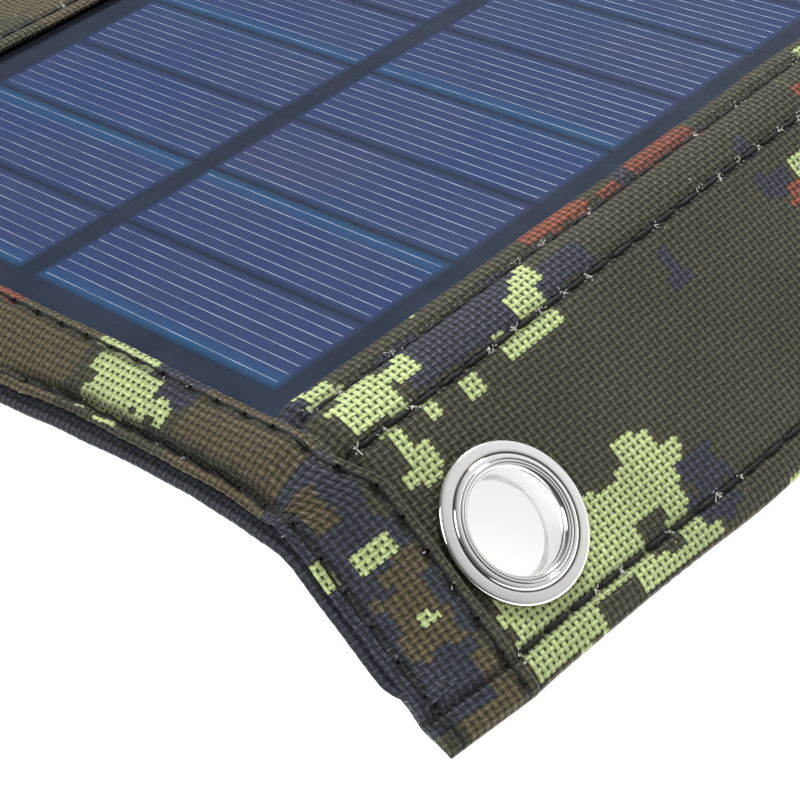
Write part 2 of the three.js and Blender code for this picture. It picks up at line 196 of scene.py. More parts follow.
def over_corner(along, height, corner, corner_height, angle, reach=0.9):
    """Carries (along, height) over a corner where the cloth turns down by angle."""
    samples = np.linspace(corner - reach, corner + reach, 41)
    turns = angle * smooth(samples, corner - reach, corner + reach)
    step = samples[1] - samples[0]
    curve_x = samples[0] + np.concatenate([[0], np.cumsum(np.cos((turns[1:] + turns[:-1]) / 2) * step)])
    curve_z = corner_height - np.concatenate([[0], np.cumsum(np.sin((turns[1:] + turns[:-1]) / 2) * step)])
    turn = angle * smooth(along, corner - reach, corner + reach)
    beyond = np.maximum(along - samples[-1], 0)
    before = np.minimum(along - samples[0], 0)
    x = np.interp(along, samples, curve_x) + before + beyond * math.cos(angle)
    z = np.interp(along, samples, curve_z) - beyond * math.sin(angle)
    off = height - corner_height
    return x + off * np.sin(turn), z + off * np.cos(turn)


def flap_bow(along, y):
    """How far the flap's outer part lies further out in the middle than at its corners."""
    bow = 1.0 - 1.85 * smooth(np.abs(y), 38, 84) - 0.085 * np.maximum(np.abs(y) - 85, 0)
    return bow * smooth(along, 60, 80)


def on_strip(x, y, height):
    """Points in the frame from places on the straightened strip."""
    return raise_leaf_1(np.stack(np.broadcast_arrays(x, y, height), axis=-1))


def place_front(along, y, height):
    """Front cloth of leaf 1 and its flap: along is measured on the cloth from the leaf's middle."""
    x, z = over_corner(along + flap_bow(along, y), height, OUTER_SEAM, OUTER_SEAM_H, FLAP_DROP)
    return on_strip(FRONT + x, y, z)


def place_front_back(along, y, height):
    """Back cloth of leaf 1, which turns down under the flap."""
    x, z = over_corner(along, height, BACK_CORNER, 0.0, FLAP_DROP, reach=2.5)
    return on_strip(FRONT + x, y, z)


def place_flap(u, y, w):
    """Points of the front flap: u from its fold axis along its slope, w above it."""
    x = FRONT + FLAP_AXIS + u * math.cos(FLAP_DROP) + w * math.sin(FLAP_DROP)
    z = FLAP_AXIS_H - u * math.sin(FLAP_DROP) + w * math.cos(FLAP_DROP)
    return on_strip(x, y, z)


# ---- camouflage print ------------------------------------------------------------------------------

# Linear colours, and how far the light shows through between the yarns.
OLIVE = (0.044, 0.043, 0.021, 0.40)
KHAKI = (0.082, 0.066, 0.030, 0.35)
NAVY = (0.024, 0.029, 0.046, 0.35)
GREEN = (0.390, 0.475, 0.200, 1.00)
RUST = (0.210, 0.052, 0.024, 0.40)
PRINT = np.array([OLIVE, KHAKI, NAVY, GREEN, RUST])
O, K, N, G, R = range(5)
PRINT_BLOCK = 2.4  # side of one block of the print

# Patches near the front near corner, [along from, to, y from, to, colour]; later ones lie on top.
COVER_PATCHES = [
    (44.0, 83.4, -100.0, -8.0, O),
    (46.9, 53.4, -75.5, -54.0, N),
    (49.6, 53.4, -54.0, -47.4, N),
    (43.5, 48.4, -90.0, -84.0, N),
    (48.4, 51.2, -57.8, -54.4, G),
    (50.9, 53.4, -60.2, -55.5, G),
    (53.4, 56.0, -64.6, -56.0, G),
    (48.7, 50.9, -77.4, -73.0, G),
    (50.6, 53.4, -79.4, -77.2, G),
    (48.7, 51.2, -79.6, -76.4, G),
    (54.6, 56.8, -71.2, -69.0, G),
    (54.4, 55.7, -76.6, -74.4, G),
    (44.2, 47.4, -84.4, -81.0, G),
    (47.0, 50.8, -82.6, -77.6, G),
    (49.4, 52.6, -84.4, -82.2, G),
    (50.4, 53.0, -83.0, -78.6, G),
    (53.6, 56.2, -82.2, -80.2, G),
    (56.0, 59.6, -81.6, -78.4, G),
    (57.6, 60.4, -83.6, -79.4, G),
    (69.3, 73.8, -60.4, -55.8, G),
    (71.7, 75.6, -66.0, -53.8, G),
    (71.7, 75.6, -71.6, -65.4, G),
    (74.6, 79.9, -84.0, -57.0, G),
    (70.8, 83.3, -84.0, -66.2, G),
    (79.0, 83.4, -84.0, -56.6, G),
    (81.4, 83.4, -57.0, -54.6, G),
    (76.8, 81.4, -65.0, -60.4, O),
    (80.8, 83.4, -73.8, -68.6, O),
    (74.8, 79.2, -55.4, -50.0, N),
    (78.0, 81.6, -57.0, -51.0, N),
    (55.2, 61.0, -40.6, -38.6, N),
    (56.6, 59.2, -22.2, -17.2, N),
    (51.6, 54.0, -21.4, -18.8, N),
    (59.0, 61.6, -19.2, -15.8, R),
    (56.6, 59.4, -16.6, -9.0, G),
    (43.9, 47.0, -50.4, -41.0, R),
    (45.6, 47.4, -38.6, -35.4, R),
    (44.0, 47.4, -35.4, -32.4, N),
    (44.0, 47.4, -32.4, -21.6, R),
]
NEAR_BAND_PATCHES = [
    (-20.0, 20.0, -100.0, -80.0, K),
    (20.0, 36.0, -100.0, -80.0, O),
    (36.0, 51.0, -100.0, -80.0, K),
    (51.0, 76.0, -100.0, -88.0, N),
    (76.0, 84.0, -94.0, -80.0, K),
    (76.0, 81.0, -98.0, -89.4, N),
    (51.0, 84.0, -86.6, -80.0, O),
    (53.0, 57.4, -94.6, -91.6, K),
    (63.6, 66.4, -92.0, -86.6, K),
    (65.6, 74.2, -93.8, -88.4, K),
    (61.0, 63.2, -93.0, -88.6, G),
    (59.8, 62.2, -98.0, -95.2, G),
    (69.2, 71.0, -91.6, -89.6, G),
    (20.2, 28.4, -89.2, -80.0, G),
    (21.4, 31.0, -91.6, -89.2, G),
    (23.6, 34.4, -93.6, -91.4, G),
    (22.6, 29.0, -95.2, -93.4, G),
    (28.4, 36.0, -89.4, -80.0, N),
    (31.0, 35.6, -91.4, -89.4, N),
    (1.0, 7.2, -89.2, -80.0, R),
    (-2.0, 1.6, -95.0, -91.0, N),
]


def camo(along, across, seed, patches=()):
    """Print colours at cloth positions: seeded blocks, with the listed patches over them."""
    i, j = np.floor(along / PRINT_BLOCK), np.floor(across / PRINT_BLOCK)
    px, py = (i + 0.5) * PRINT_BLOCK, (j + 0.5) * PRINT_BLOCK
    grain = hash_noise(i, j, seed + 9) * 0.10
    kind = np.full(along.shape, O)
    kind[cloud_noise(px, py, 17.0, seed) + grain > 0.66] = K
    kind[cloud_noise(px + 31, py * 0.8, 13.0, seed + 1) + grain > 0.73] = N
    kind[cloud_noise(px, py + 57, 12.0, seed + 2) + grain > 0.82] = G
    kind[cloud_noise(px - 43, py, 9.0, seed + 3) + grain > 0.91] = R
    ragged = 0.9 * (hash_noise(np.floor(along / 1.6), np.floor(across / 1.7), seed + 5) - 0.5)
    a, b = along + ragged, across + ragged
    for a0, a1, b0, b1, tone in patches:
        kind[(a >= a0) & (a < a1) & (b >= b0) & (b < b1)] = tone
    return PRINT[kind]


# ---- mesh building ---------------------------------------------------------------------------------


class Sheet:
    """A grid of points with its yarn coordinates and print, ready to be joined into a piece."""

    def __init__(self, points, yarn, colours=None):
        self.points, self.yarn, self.colours = points, yarn, colours
        self.keep = None  # which grid cells there are; None for all
        self.rows_at = None  # place along the strip of each row on the cloth's upper side


def cell_centres(values):
    """Means over each grid cell of a (n, m) array."""
    return (values[:-1, :-1] + values[1:, :-1] + values[:-1, 1:] + values[1:, 1:]) / 4


def yarn_centres(yarn):
    """For each grid cell, the middle of the crossing it belongs to, in yarn units."""
    return [np.floor(cell_centres(yarn[..., k])) + 0.5 for k in (0, 1)]


def grid_faces(rows, columns, keep=None):
    """Quads of a rows by columns grid of points."""
    index = np.arange(rows * columns).reshape(rows, columns)
    corners = [index[:-1, :-1], index[1:, :-1], index[1:, 1:], index[:-1, 1:]]
    faces = np.stack(corners, axis=-1).reshape(-1, 4)
    return faces if keep is None else faces[keep.reshape(-1)]


def new_piece(name, vertices_mm, faces, material, smooth_faces=True):
    """A mesh object from arrays; every face has the same number of corners."""
    mesh = bpy.data.meshes.new(name)
    vertices_mm = np.asarray(vertices_mm, float).reshape(-1, 3)
    faces = np.asarray(faces, np.int32)
    sides = faces.shape[1]
    mesh.vertices.add(len(vertices_mm))
    mesh.vertices.foreach_set("co", (vertices_mm * MM).astype(np.float32).ravel())
    mesh.loops.add(faces.size)
    mesh.loops.foreach_set("vertex_index", faces.ravel())
    mesh.polygons.add(len(faces))
    mesh.polygons.foreach_set("loop_start", np.arange(0, faces.size, sides, dtype=np.int32))
    mesh.polygons.foreach_set("use_smooth", np.full(len(faces), smooth_faces))
    mesh.update(calc_edges=True)
    mesh.materials.append(material)
    return add_object(name, mesh)


def add_object(name, data):
    """A new object in the scene."""
    thing = bpy.data.objects.new(name, data)
    bpy.context.scene.collection.objects.link(thing)
    return thing


def add_layer(piece, name, kind, domain, field, values):
    """A mesh attribute, filled from an array."""
    layer = piece.data.attributes.new(name, kind, domain)
    layer.data.foreach_set(field, np.asarray(values).astype(np.float32).ravel())


class Pile:
    """Collects many small meshes into one piece."""

    def __init__(self):
        self.vertices, self.faces, self.count = [], [], 0

    def add(self, vertices, faces):
        vertices = vertices.reshape(-1, 3)
        self.vertices.append(vertices)
        self.faces.append(faces + self.count)
        self.count += len(vertices)

    def piece(self, name, material, smooth_faces=True):
        vertices, faces = np.concatenate(self.vertices), np.concatenate(self.faces)
        return new_piece(name, vertices, faces, material, smooth_faces)


def cloth_piece(name, sheets, material):
    """One piece from several sheets, with its yarn coordinates and print as mesh attributes."""
    pile, yarns, colours = Pile(), [], []
    for part in sheets:
        rows, columns = part.points.shape[:2]
        pile.add(part.points, grid_faces(rows, columns, part.keep))
        yarns.append(np.concatenate([part.yarn, np.zeros((rows, columns, 1))], axis=-1).reshape(-1, 3))
        shades = part.colours if part.colours is not None else np.ones((rows - 1, columns - 1, 4))
        shades = shades.reshape(-1, 4)
        colours.append(shades if part.keep is None else shades[part.keep.reshape(-1)])
    piece = pile.piece(name, material)
    add_layer(piece, "yarn", "FLOAT_VECTOR", "POINT", "vector", np.concatenate(yarns))
    add_layer(piece, "camo", "FLOAT_COLOR", "CORNER", "color", np.repeat(np.concatenate(colours), 4, axis=0))
    return piece


def ride(piece, body, replaces=()):
    """Fastens a piece to one body."""
    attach(piece, body)
    finish_piece(replaces)


def bend(piece, bodies, start, end, slot=None, replaces=()):
    """Bakes a cloth piece's place into its mesh and hides the CAD nodes it replaces; it is fastened to
    neither of the two bodies of the fold, which are not used, and start and end, (x, z) in millimetres, are
    not used either.
    """
    (x0, z0), (x1, z1) = start, end
    x0 * MM
    z0 * MM
    x1 * MM
    z1 * MM
    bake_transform(piece)
    finish_piece(replaces)


def finish_piece(replaces):
    """Hides the CAD nodes that a piece stands for."""
    if replaces:
        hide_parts(*replaces)


def yarn_relief(yarn, amount):
    """Height of the woven yarns where the mesh is fine enough to carry it."""
    return amount * np.sin(math.pi * yarn[..., 0]) * np.sin(math.pi * yarn[..., 1])


# ---- materials -------------------------------------------------------------------------------------


class Wire:
    """A shader value; arithmetic on it adds Math nodes."""

    def __init__(self, tree, socket):
        self.tree, self.socket = tree, socket

    def math(self, operation, *others):
        """One Math node that works on this value and the others."""
        node = self.tree.nodes.new("ShaderNodeMath")
        node.operation = operation
        for slot, value in zip(node.inputs, (self, *others)):
            feed(self.tree, slot, value)
        return Wire(self.tree, node.outputs[0])

    def __add__(self, other):
        return self.math("ADD", other)

    def __sub__(self, other):
        return self.math("SUBTRACT", other)

    def __mul__(self, other):
        return self.math("MULTIPLY", other)


def new_material(name):
    """A material with one Principled shader; returns (material, tree, shader)."""
    material = bpy.data.materials.new(name)
    material.use_nodes = True
    tree = material.node_tree
    return material, tree, tree.nodes["Principled BSDF"]


def attribute(tree, name, output):
    """An output socket that reads a mesh attribute."""
    node = tree.nodes.new("ShaderNodeAttribute")
    node.attribute_name = name
    return node.outputs[output]


def object_noise(tree, scale, detail=3.0, stretch=(1, 1, 1)):
    """Noise in the object's own coordinates, which stay on the piece when it moves."""
    coordinates = tree.nodes.new("ShaderNodeTexCoord")
    mapping = tree.nodes.new("ShaderNodeMapping")
    mapping.inputs["Scale"].default_value = stretch
    noise = tree.nodes.new("ShaderNodeTexNoise")
    noise.inputs["Scale"].default_value = scale
    noise.inputs["Detail"].default_value = detail
    tree.links.new(coordinates.outputs["Object"], mapping.inputs["Vector"])
    tree.links.new(mapping.outputs["Vector"], noise.inputs["Vector"])
    return Wire(tree, noise.outputs["Fac"])


def feed(tree, socket, value):
    """Gives an input socket its value: another socket, a Wire or a constant."""
    if isinstance(value, Wire):
        tree.links.new(value.socket, socket)
    elif isinstance(value, bpy.types.NodeSocket):
        tree.links.new(value, socket)
    else:
        socket.default_value = value


def mix_colour(tree, factor, first, second, blend="MIX"):
    """Mixes two colours; each is a socket, a Wire or a plain colour."""
    node = tree.nodes.new("ShaderNodeMix")
    node.data_type, node.blend_type = "RGBA", blend
    for index, value in ((0, factor), (6, first), (7, second)):
        feed(tree, node.inputs[index], value)
    return node.outputs[2]


def ramp(value, low, high, out_low=0.0, out_high=1.0):
    """Value mapped smoothly from one range to another."""
    node = value.tree.nodes.new("ShaderNodeMapRange")
    node.interpolation_type = "SMOOTHSTEP"
    for index, number in ((1, low), (2, high), (3, out_low), (4, out_high)):
        node.inputs[index].default_value = number
    value.tree.links.new(value.socket, node.inputs[0])
    return Wire(value.tree, node.outputs[0])


def bump(tree, shader, height, distance):
    """Relief of the given depth in metres from a height between 0 and 1."""
    node = tree.nodes.new("ShaderNodeBump")
    feed(tree, node.inputs["Distance"], distance)
    feed(tree, node.inputs["Height"], height)
    feed(tree, shader.inputs["Normal"], node.outputs["Normal"])


def dress(tree, shader, colour, roughness, **levels):
    """Sets a shader's colour and roughness, and its other levels, which are the same all over."""
    feed(tree, shader.inputs["Base Color"], colour)
    feed(tree, shader.inputs["Roughness"], roughness)
    names = {
        "specular": "Specular IOR Level", "metallic": "Metallic",
        "sheen": "Sheen Weight", "sheen_roughness": "Sheen Roughness",
    }
    for level, number in levels.items():
        shader.inputs[names[level]].default_value = number


def weave(tree):
    """Plain weave from the yarn coordinates: (height 0..1, open hole 0..1, raised crown 0..1)."""
    split = tree.nodes.new("ShaderNodeSeparateXYZ")
    tree.links.new(attribute(tree, "yarn", "Vector"), split.inputs[0])
    u, v = Wire(tree, split.outputs[0]), Wire(tree, split.outputs[1])
    parity = (u.math("FLOOR") + v.math("FLOOR")).math("PINGPONG", 1.0)
    sign = parity * 2.0 - 1.0
    du, dv = u.math("FRACT") - 0.5, v.math("FRACT") - 0.5

    def yarn(beside, along, half_width, side):
        """Height of one yarn; it is on top where side is 1."""
        ratio = beside * (1.0 / half_width)
        body = (ratio * ratio * -1.0 + 1.0).math("MAXIMUM", 0.0).math("SQRT")
        arch = (along * math.pi).math("COSINE") * side
        return (arch * 0.30 + 0.42) * body.math("MINIMUM", 1.0) + body * 0.16

    long_yarn = yarn(dv, du, 0.37, sign)
    cross_yarn = yarn(du, dv, 0.31, sign * -1.0)
    height = long_yarn.math("MAXIMUM", cross_yarn)
    beside_u, beside_v = du.math("ABSOLUTE") * -1.0 + 0.5, dv.math("ABSOLUTE") * -1.0 + 0.5
    hole = ramp(beside_u, 0.29, 0.20) * ramp(beside_v, 0.20, 0.12)
    crown = ramp(height, 0.70, 0.90)
    return height, hole, crown


def cloth_material(name, printed, plain=(0.05, 0.055, 0.05, 1)):
    """Coated polyester canvas: woven relief, fibres, painted shade low in the weave, wear and a painted glint
    on the yarn crowns, over the print or a plain dye.
    """
    material, tree, shader = new_material(name)
    height, hole, crown = weave(tree)
    fibres = object_noise(tree, 2600.0, 2.0)
    patches = object_noise(tree, 60.0, 4.0)
    specks = object_noise(tree, 1500.0, 1.0)
    base = attribute(tree, "camo", "Color") if printed else plain
    openness = Wire(tree, attribute(tree, "camo", "Alpha")) if printed else hole * 0.0 + 0.3
    depth = ramp(height, 0.10, 0.90)
    # Painted shade: the colour is darker where the yarns dip low in the weave; fibres and patches add random
    # tone on top.
    shade = depth * (openness * -0.55 + 1.0) + (openness * 0.50 + 0.28)
    shade = shade * ramp(fibres, 0.25, 0.75, 0.80, 1.20) * ramp(patches, 0.3, 0.7, 0.84, 1.12)
    tinted = mix_colour(tree, 1.0, base, shade_colour(tree, shade), "MULTIPLY")
    # Painted highlight: the yarn crowns are lightened toward a pale grey, partly wear of their tops and
    # partly a painted glint.
    crown_wear_and_glint = crown * ramp(fibres, 0.35, 0.80, 0.03, 0.24) * (openness * -0.8 + 1.1)
    worn_and_glinted = mix_colour(tree, crown_wear_and_glint, tinted, (0.30, 0.30, 0.25, 1))
    pierced = mix_colour(tree, hole * (openness * 0.35 + 0.60), worn_and_glinted, (0.010, 0.014, 0.007, 1))
    lint = ramp(specks, 0.80, 0.84) * ramp(patches, 0.45, 0.62)
    final = mix_colour(tree, lint * 0.6, pierced, (0.55, 0.55, 0.50, 1))
    roughness = ramp(crown + fibres * 0.5, 0.2, 1.3, 0.75, 0.46)
    dress(tree, shader, final, roughness, specular=0.32, sheen=0.10, sheen_roughness=0.35)
    bump(tree, shader, height + fibres * 0.22, 0.00032)
    return material


def shade_colour(tree, value):
    """A grey of the given brightness."""
    node = tree.nodes.new("ShaderNodeCombineColor")
    for socket in node.inputs:
        feed(tree, socket, value)
    return node.outputs[0]


def thread_material(name, dark, light):
    """Sewing thread: a dyed twist with paler worn fibres."""
    material, tree, shader = new_material(name)
    twist = object_noise(tree, 3000.0, 2.0)
    colour = mix_colour(tree, ramp(twist, 0.45, 0.75), dark, light)
    dress(tree, shader, colour, ramp(twist, 0.3, 0.7, 0.45, 0.75), specular=0.25)
    bump(tree, shader, twist, 0.0001)
    return material


SLATE = (0.017, 0.027, 0.045, 1)
UNDER_FILM = 0.06  # specular level of what lies bonded under the clear film


def silicon_material():
    """Blue cells under the laminate, each with its own tone and a greener rim."""
    material, tree, shader = new_material("silicon")
    split = tree.nodes.new("ShaderNodeSeparateXYZ")
    tree.links.new(attribute(tree, "cell", "Vector"), split.inputs[0])
    tone, rim, fade = (Wire(tree, split.outputs[k]) for k in range(3))
    clouds = object_noise(tree, 45.0, 3.0, (1.0, 0.6, 1.0))
    grain = object_noise(tree, 900.0, 2.0)
    blend = ramp(clouds, 0.3, 0.7) * 0.6 + tone * 0.4
    blue = mix_colour(tree, blend, (0.017, 0.045, 0.125, 1), (0.037, 0.048, 0.115, 1))
    rimmed = mix_colour(tree, rim * 0.8, blue, (0.014, 0.090, 0.180, 1))
    grainy = mix_colour(tree, ramp(grain, 0.35, 0.75, 0.0, 0.10), rimmed, (0.07, 0.08, 0.16, 1))
    final = mix_colour(tree, fade, grainy, SLATE)
    dress(tree, shader, final, ramp(grain, 0.3, 0.7, 0.32, 0.48), specular=UNDER_FILM)
    return material


def plastic_material(name, dark, light, roughness, scale, depth, metallic=0.0, specular=0.5):
    """Moulded plastic, sheet or metal: two tones of mottling, uneven gloss and a fine relief."""
    material, tree, shader = new_material(name)
    coarse = object_noise(tree, scale, 4.0)
    fine = object_noise(tree, scale * 9, 2.0)
    mottled = mix_colour(tree, ramp(coarse, 0.35, 0.65), dark, light)
    dress(tree, shader, mottled, ramp(fine, 0.3, 0.7, *roughness), metallic=metallic, specular=specular)
    bump(tree, shader, fine, depth)
    return material


def film_material():
    """Clear satin film: mostly transparent, with a soft reflection that grows at a low angle."""
    material, tree, shader = new_material("film")
    clear = tree.nodes.new("ShaderNodeBsdfTransparent")
    feed(tree, clear.inputs["Color"], (0.97, 0.98, 1.0, 1))
    gloss = tree.nodes.new("ShaderNodeMixShader")
    angle = tree.nodes.new("ShaderNodeLayerWeight")
    feed(tree, angle.inputs["Blend"], 0.20)
    haze = object_noise(tree, 120.0, 3.0)
    share = Wire(tree, angle.outputs["Fresnel"]) * ramp(haze, 0.3, 0.7, 0.62, 0.78) + 0.01
    for index, value in enumerate((share, clear.outputs[0], shader.outputs[0])):
        feed(tree, gloss.inputs[index], value)
    feed(tree, tree.nodes["Material Output"].inputs["Surface"], gloss.outputs[0])
    roughness = ramp(haze, 0.3, 0.7, 0.20, 0.30)
    tone = mix_colour(tree, haze, (0.10, 0.10, 0.16, 1), (0.16, 0.16, 0.22, 1))
    dress(tree, shader, tone, roughness)
    return material


def nickel_material():
    """Bright plating, with painted dark, warm reflections and shade in its grooves."""
    material, tree, shader = new_material("nickel")
    haze = object_noise(tree, 90.0, 3.0)
    scratches = object_noise(tree, 900.0, 3.0)
    bright = mix_colour(tree, ramp(haze, 0.3, 0.7), (0.80, 0.79, 0.77, 1), (0.92, 0.92, 0.91, 1))
    # Painted shade and warm reflection of the cloth, strongest in the grooves.
    groove = Wire(tree, attribute(tree, "groove", "Fac"))
    final = mix_colour(tree, groove, bright, (0.085, 0.062, 0.042, 1))
    dress(tree, shader, final, ramp(scratches, 0.3, 0.8, 0.06, 0.16), metallic=1.0)
    bump(tree, shader, haze, 1e-5)
    return material


CAMO_CLOTH = cloth_material("camo_canvas", True)
BACK_CLOTH = cloth_material("back_canvas", False, (0.022, 0.027, 0.040, 1))
THREAD = thread_material("black_thread", (0.003, 0.003, 0.003, 1), (0.016, 0.017, 0.016, 1))
LINT = thread_material("cut_fibres", (0.55, 0.56, 0.50, 1), (0.90, 0.90, 0.86, 1))
SILICON = silicon_material()
FILM = film_material()
NICKEL = nickel_material()
SILVER = plastic_material(
    "silver_lines", (0.20, 0.24, 0.34, 1), (0.38, 0.43, 0.53, 1), (0.40, 0.55), 300.0, 2e-5, metallic=0.3)
BACKSHEET = plastic_material(
    "backsheet", (0.013, 0.022, 0.038, 1), (0.020, 0.030, 0.050, 1), (0.4, 0.6), 150.0, 2e-5,
    specular=UNDER_FILM)
BOARD = plastic_material(
    "stiffener", (0.020, 0.020, 0.018, 1), (0.032, 0.030, 0.026, 1), (0.7, 0.9), 200.0, 5e-5)
LEAD = plastic_material("lead", (0.012, 0.012, 0.011, 1), (0.022, 0.021, 0.020, 1), (0.4, 0.6), 250.0, 3e-5)
CASE = plastic_material("case", (0.012, 0.012, 0.013, 1), (0.020, 0.020, 0.021, 1), (0.42, 0.58), 180.0, 6e-5)
CIRCUIT = plastic_material(
    "circuit", (0.010, 0.070, 0.028, 1), (0.016, 0.100, 0.040, 1), (0.30, 0.5), 400.0, 4e-5)
STEEL = plastic_material(
    "socket_steel", (0.48, 0.49, 0.50, 1), (0.60, 0.60, 0.61, 1), (0.22, 0.40), 200.0, 1e-5, metallic=1.0)
VELCRO = plastic_material(
    "hook_and_loop", (0.008, 0.009, 0.008, 1), (0.022, 0.023, 0.020, 1), (0.85, 1.0), 700.0, 4e-4)

# ---- side strips and flaps -------------------------------------------------------------------------

# Half of the cloth over a fold, from under the hem at the window outwards: distance from the leaf's
# middle, height.
STRIP_HALF = [
    (46.6, 5.45), (45.2, 5.40), (44.35, 5.55), (44.1, 5.9), (44.4, 6.3), (45.3, 6.5), (46.5, 6.4),
    (47.2, 6.1), (48.0, 6.45), (49.4, 6.5), (51.0, 6.0), (52.3, 5.2), (53.3, 4.45), (54.6, 4.4),
    (57.0, 4.15),
]
# Leaf 1's front strip and the flap, round the flap's end and back under it: along the cloth, height.
FRONT_PROFILE = STRIP_HALF[:12] + [
    (53.3, 4.50), (54.5, 4.70), (57.5, 4.76), (66.0, 4.78), (75.0, 4.74), (78.0, 4.66), (79.2, 4.35),
    (80.3, 4.62), (81.8, 4.45), (83.0, 4.0), (FLAP_END, 3.4), (83.0, 2.7), (82.0, 2.35), (79.0, 2.3),
    (66.0, 2.3), (56.4, 2.3),
]


def hump(distance, width):
    """A smooth bump of height 1 where distance is 0."""
    return np.exp(-((distance / width) ** 2))


def seam_groove(distance, y):
    """Height of a sewn groove at a distance from the seam, pulled tighter at each needle hole."""
    pull = 0.62 + 0.38 * np.cos(2 * math.pi * y / STITCH) ** 2
    return -SEAM_DEPTH * pull * hump(distance, SEAM_WIDTH)


def extruded_cloth(profile, half_y, grid, relief, seams, place, seed, patches=(), sink=None):
    """A cloth sheet swept along Y from its profile of (along, height), with a groove at each seam."""
    step_x, step_y = YARN_X * grid, YARN_Y * grid
    line = rounded_line(profile, step_x)
    travel = running_length(line)
    outward = np.gradient(line, axis=0)
    outward = np.stack([-outward[:, 1], outward[:, 0]], axis=1)
    outward /= np.linalg.norm(outward, axis=1, keepdims=True)
    columns = round(2 * half_y / step_y) + 1
    y = np.linspace(-half_y, half_y, columns)[None, :]
    along, height = line[:, :1] + 0 * y, line[:, 1:] + 0 * y
    on_top = (np.gradient(line[:, 0]) > 0)[:, None]
    rows_at = np.where(on_top[:, 0], line[:, 0], np.inf)
    first_seam = np.argmin(np.abs(rows_at - seams[0]))
    cloth_along = travel - travel[first_seam] + seams[0]
    yarn = np.stack([cloth_along[:, None] / YARN_X + 0 * y, y / YARN_Y + 0 * along], axis=-1)
    offset = yarn_relief(yarn, relief) + 0.10 * ripple(along, y, 22.0, seed) * on_top
    for seam in seams:
        offset = offset + seam_groove(along - seam, y) * on_top
    along, height = along + outward[:, :1] * offset, height + outward[:, 1:] * offset
    if sink is not None:
        height = height - sink(y) * on_top
    centres = yarn_centres(yarn)
    colours = camo(centres[0] * YARN_X, centres[1] * YARN_Y, seed, patches)
    # Painted shade in the grooves along the seams.
    for seam in seams:
        paint_seam_shade(colours, cell_centres(line[:, :1] - seam + 0 * y))
    sheet = Sheet(place(along, y + 0 * along, height), yarn, colours)
    sheet.rows_at = rows_at
    return sheet


def paint_seam_shade(colours, distance):
    """Paints shade into the print in the groove along a row of stitches."""
    colours[..., :3] *= (1 - 0.75 * hump(distance, 0.62))[..., None]


def cut_eyelet_holes(sheet, centres):
    """Leaves out the grid cells around the eyelets' centres, given in the frame."""
    middle = [cell_centres(sheet.points[..., axis]) for axis in range(3)]
    sheet.keep = np.ones(middle[0].shape, bool)
    for centre in centres:
        gap = np.sqrt(sum((axis - c) ** 2 for axis, c in zip(middle, centre)))
        sheet.keep &= gap > EYELET_CUT


def under_band(y):
    """How far the cloth lies lower where the bands cover it."""
    reach = np.abs(y)
    return 0.75 * smooth(reach, BAND_INNER - 2.6, BAND_INNER - 0.2) + 0.32 * np.maximum(reach - 88.6, 0)


def seam_line(sheet, at):
    """Points along a sheet's seam, and the outward direction there."""
    row = int(np.argmin(np.abs(sheet.rows_at - at)))
    ahead = sheet.points[min(row + 1, len(sheet.points) - 1)] - sheet.points[max(row - 1, 0)]
    across = np.gradient(sheet.points[row], axis=0)
    normal = np.cross(ahead, across)
    return sheet.points[row], normal / np.linalg.norm(normal, axis=1, keepdims=True)


# ---- stitches --------------------------------------------------------------------------------------

# One stitch from hole to hole: share of its length, height, thickness.
STITCH_SHAPE = [
    (0.02, -0.30, 0.7), (0.10, 0.02, 0.95), (0.28, 0.17, 1.0), (0.5, 0.20, 1.0), (0.72, 0.17, 1.0),
    (0.90, 0.02, 0.95), (0.98, -0.30, 0.7),
]


def tube(path, radius, sides=6):
    """Vertices and quads of a closed-looking tube along a short path; radius is one number or many."""
    path = np.asarray(path, float)
    radius = np.broadcast_to(radius, len(path))
    tangent = np.gradient(path, axis=0)
    tangent /= np.linalg.norm(tangent, axis=1, keepdims=True)
    side = np.cross(tangent, [0.31, 0.17, 0.93])
    side /= np.linalg.norm(side, axis=1, keepdims=True)
    up = np.cross(side, tangent)
    angles = np.linspace(0, 2 * math.pi, sides, endpoint=False)
    ring = side[:, None] * np.cos(angles)[None, :, None] + up[:, None] * np.sin(angles)[None, :, None]
    vertices = path[:, None] + ring * radius[:, None, None]
    index = np.arange(len(path) * sides).reshape(len(path), sides)
    after = np.roll(index, -1, axis=1)
    quads = np.stack([index[:-1], after[:-1], after[1:], index[1:]], axis=-1).reshape(-1, 4)
    return vertices.reshape(-1, 3), quads


class Strands(Pile):
    """Collects many small tubes."""

    def add_tube(self, path, radius, sides=6):
        self.add(*tube(path, radius, sides))


def sew(threads, fibres, points, normals, rng, lint):
    """Lockstitches along a seam; lint is the share of the needle holes with broken fibres."""
    travel = running_length(points)
    count = int(travel[-1] // STITCH)
    spare = (travel[-1] - count * STITCH) / 2

    def at(distance):
        """Point and outward direction of the seam after a distance."""
        return [np.array([np.interp(distance, travel, values[:, k]) for k in range(3)])
                for values in (points, normals)]

    for index in range(count):
        begin = spare + index * STITCH
        path = []
        for share, height, _ in STITCH_SHAPE:
            spot, up = at(begin + share * STITCH)
            path.append(spot + up * height)
        thickness = THREAD_RADIUS * np.array([thick for _, _, thick in STITCH_SHAPE])
        threads.add_tube(path, thickness * rng.uniform(0.92, 1.08))
        if rng.random() <= lint:
            spot, up = at(begin)
            fray(fibres, spot, up, rng)
            scatter_crumbs(fibres, spot, at(begin + 0.3)[0] - spot, up, rng)


def fray(fibres, spot, up, rng):
    """Broken fibres that stand up from a needle hole."""
    shares = np.linspace(0, 1, 4)[:, None]
    for _ in range(rng.integers(3, 9)):
        way = rng.normal(0, 1, 3)
        way = way / np.linalg.norm(way) + up * 0.35
        sideways = rng.normal(0, 0.25, 3)
        length = rng.uniform(0.12, 0.5)
        path = spot + up * 0.12 + way * shares * length + sideways * shares ** 2
        fibres.add_tube(path, rng.uniform(0.04, 0.08), 4)


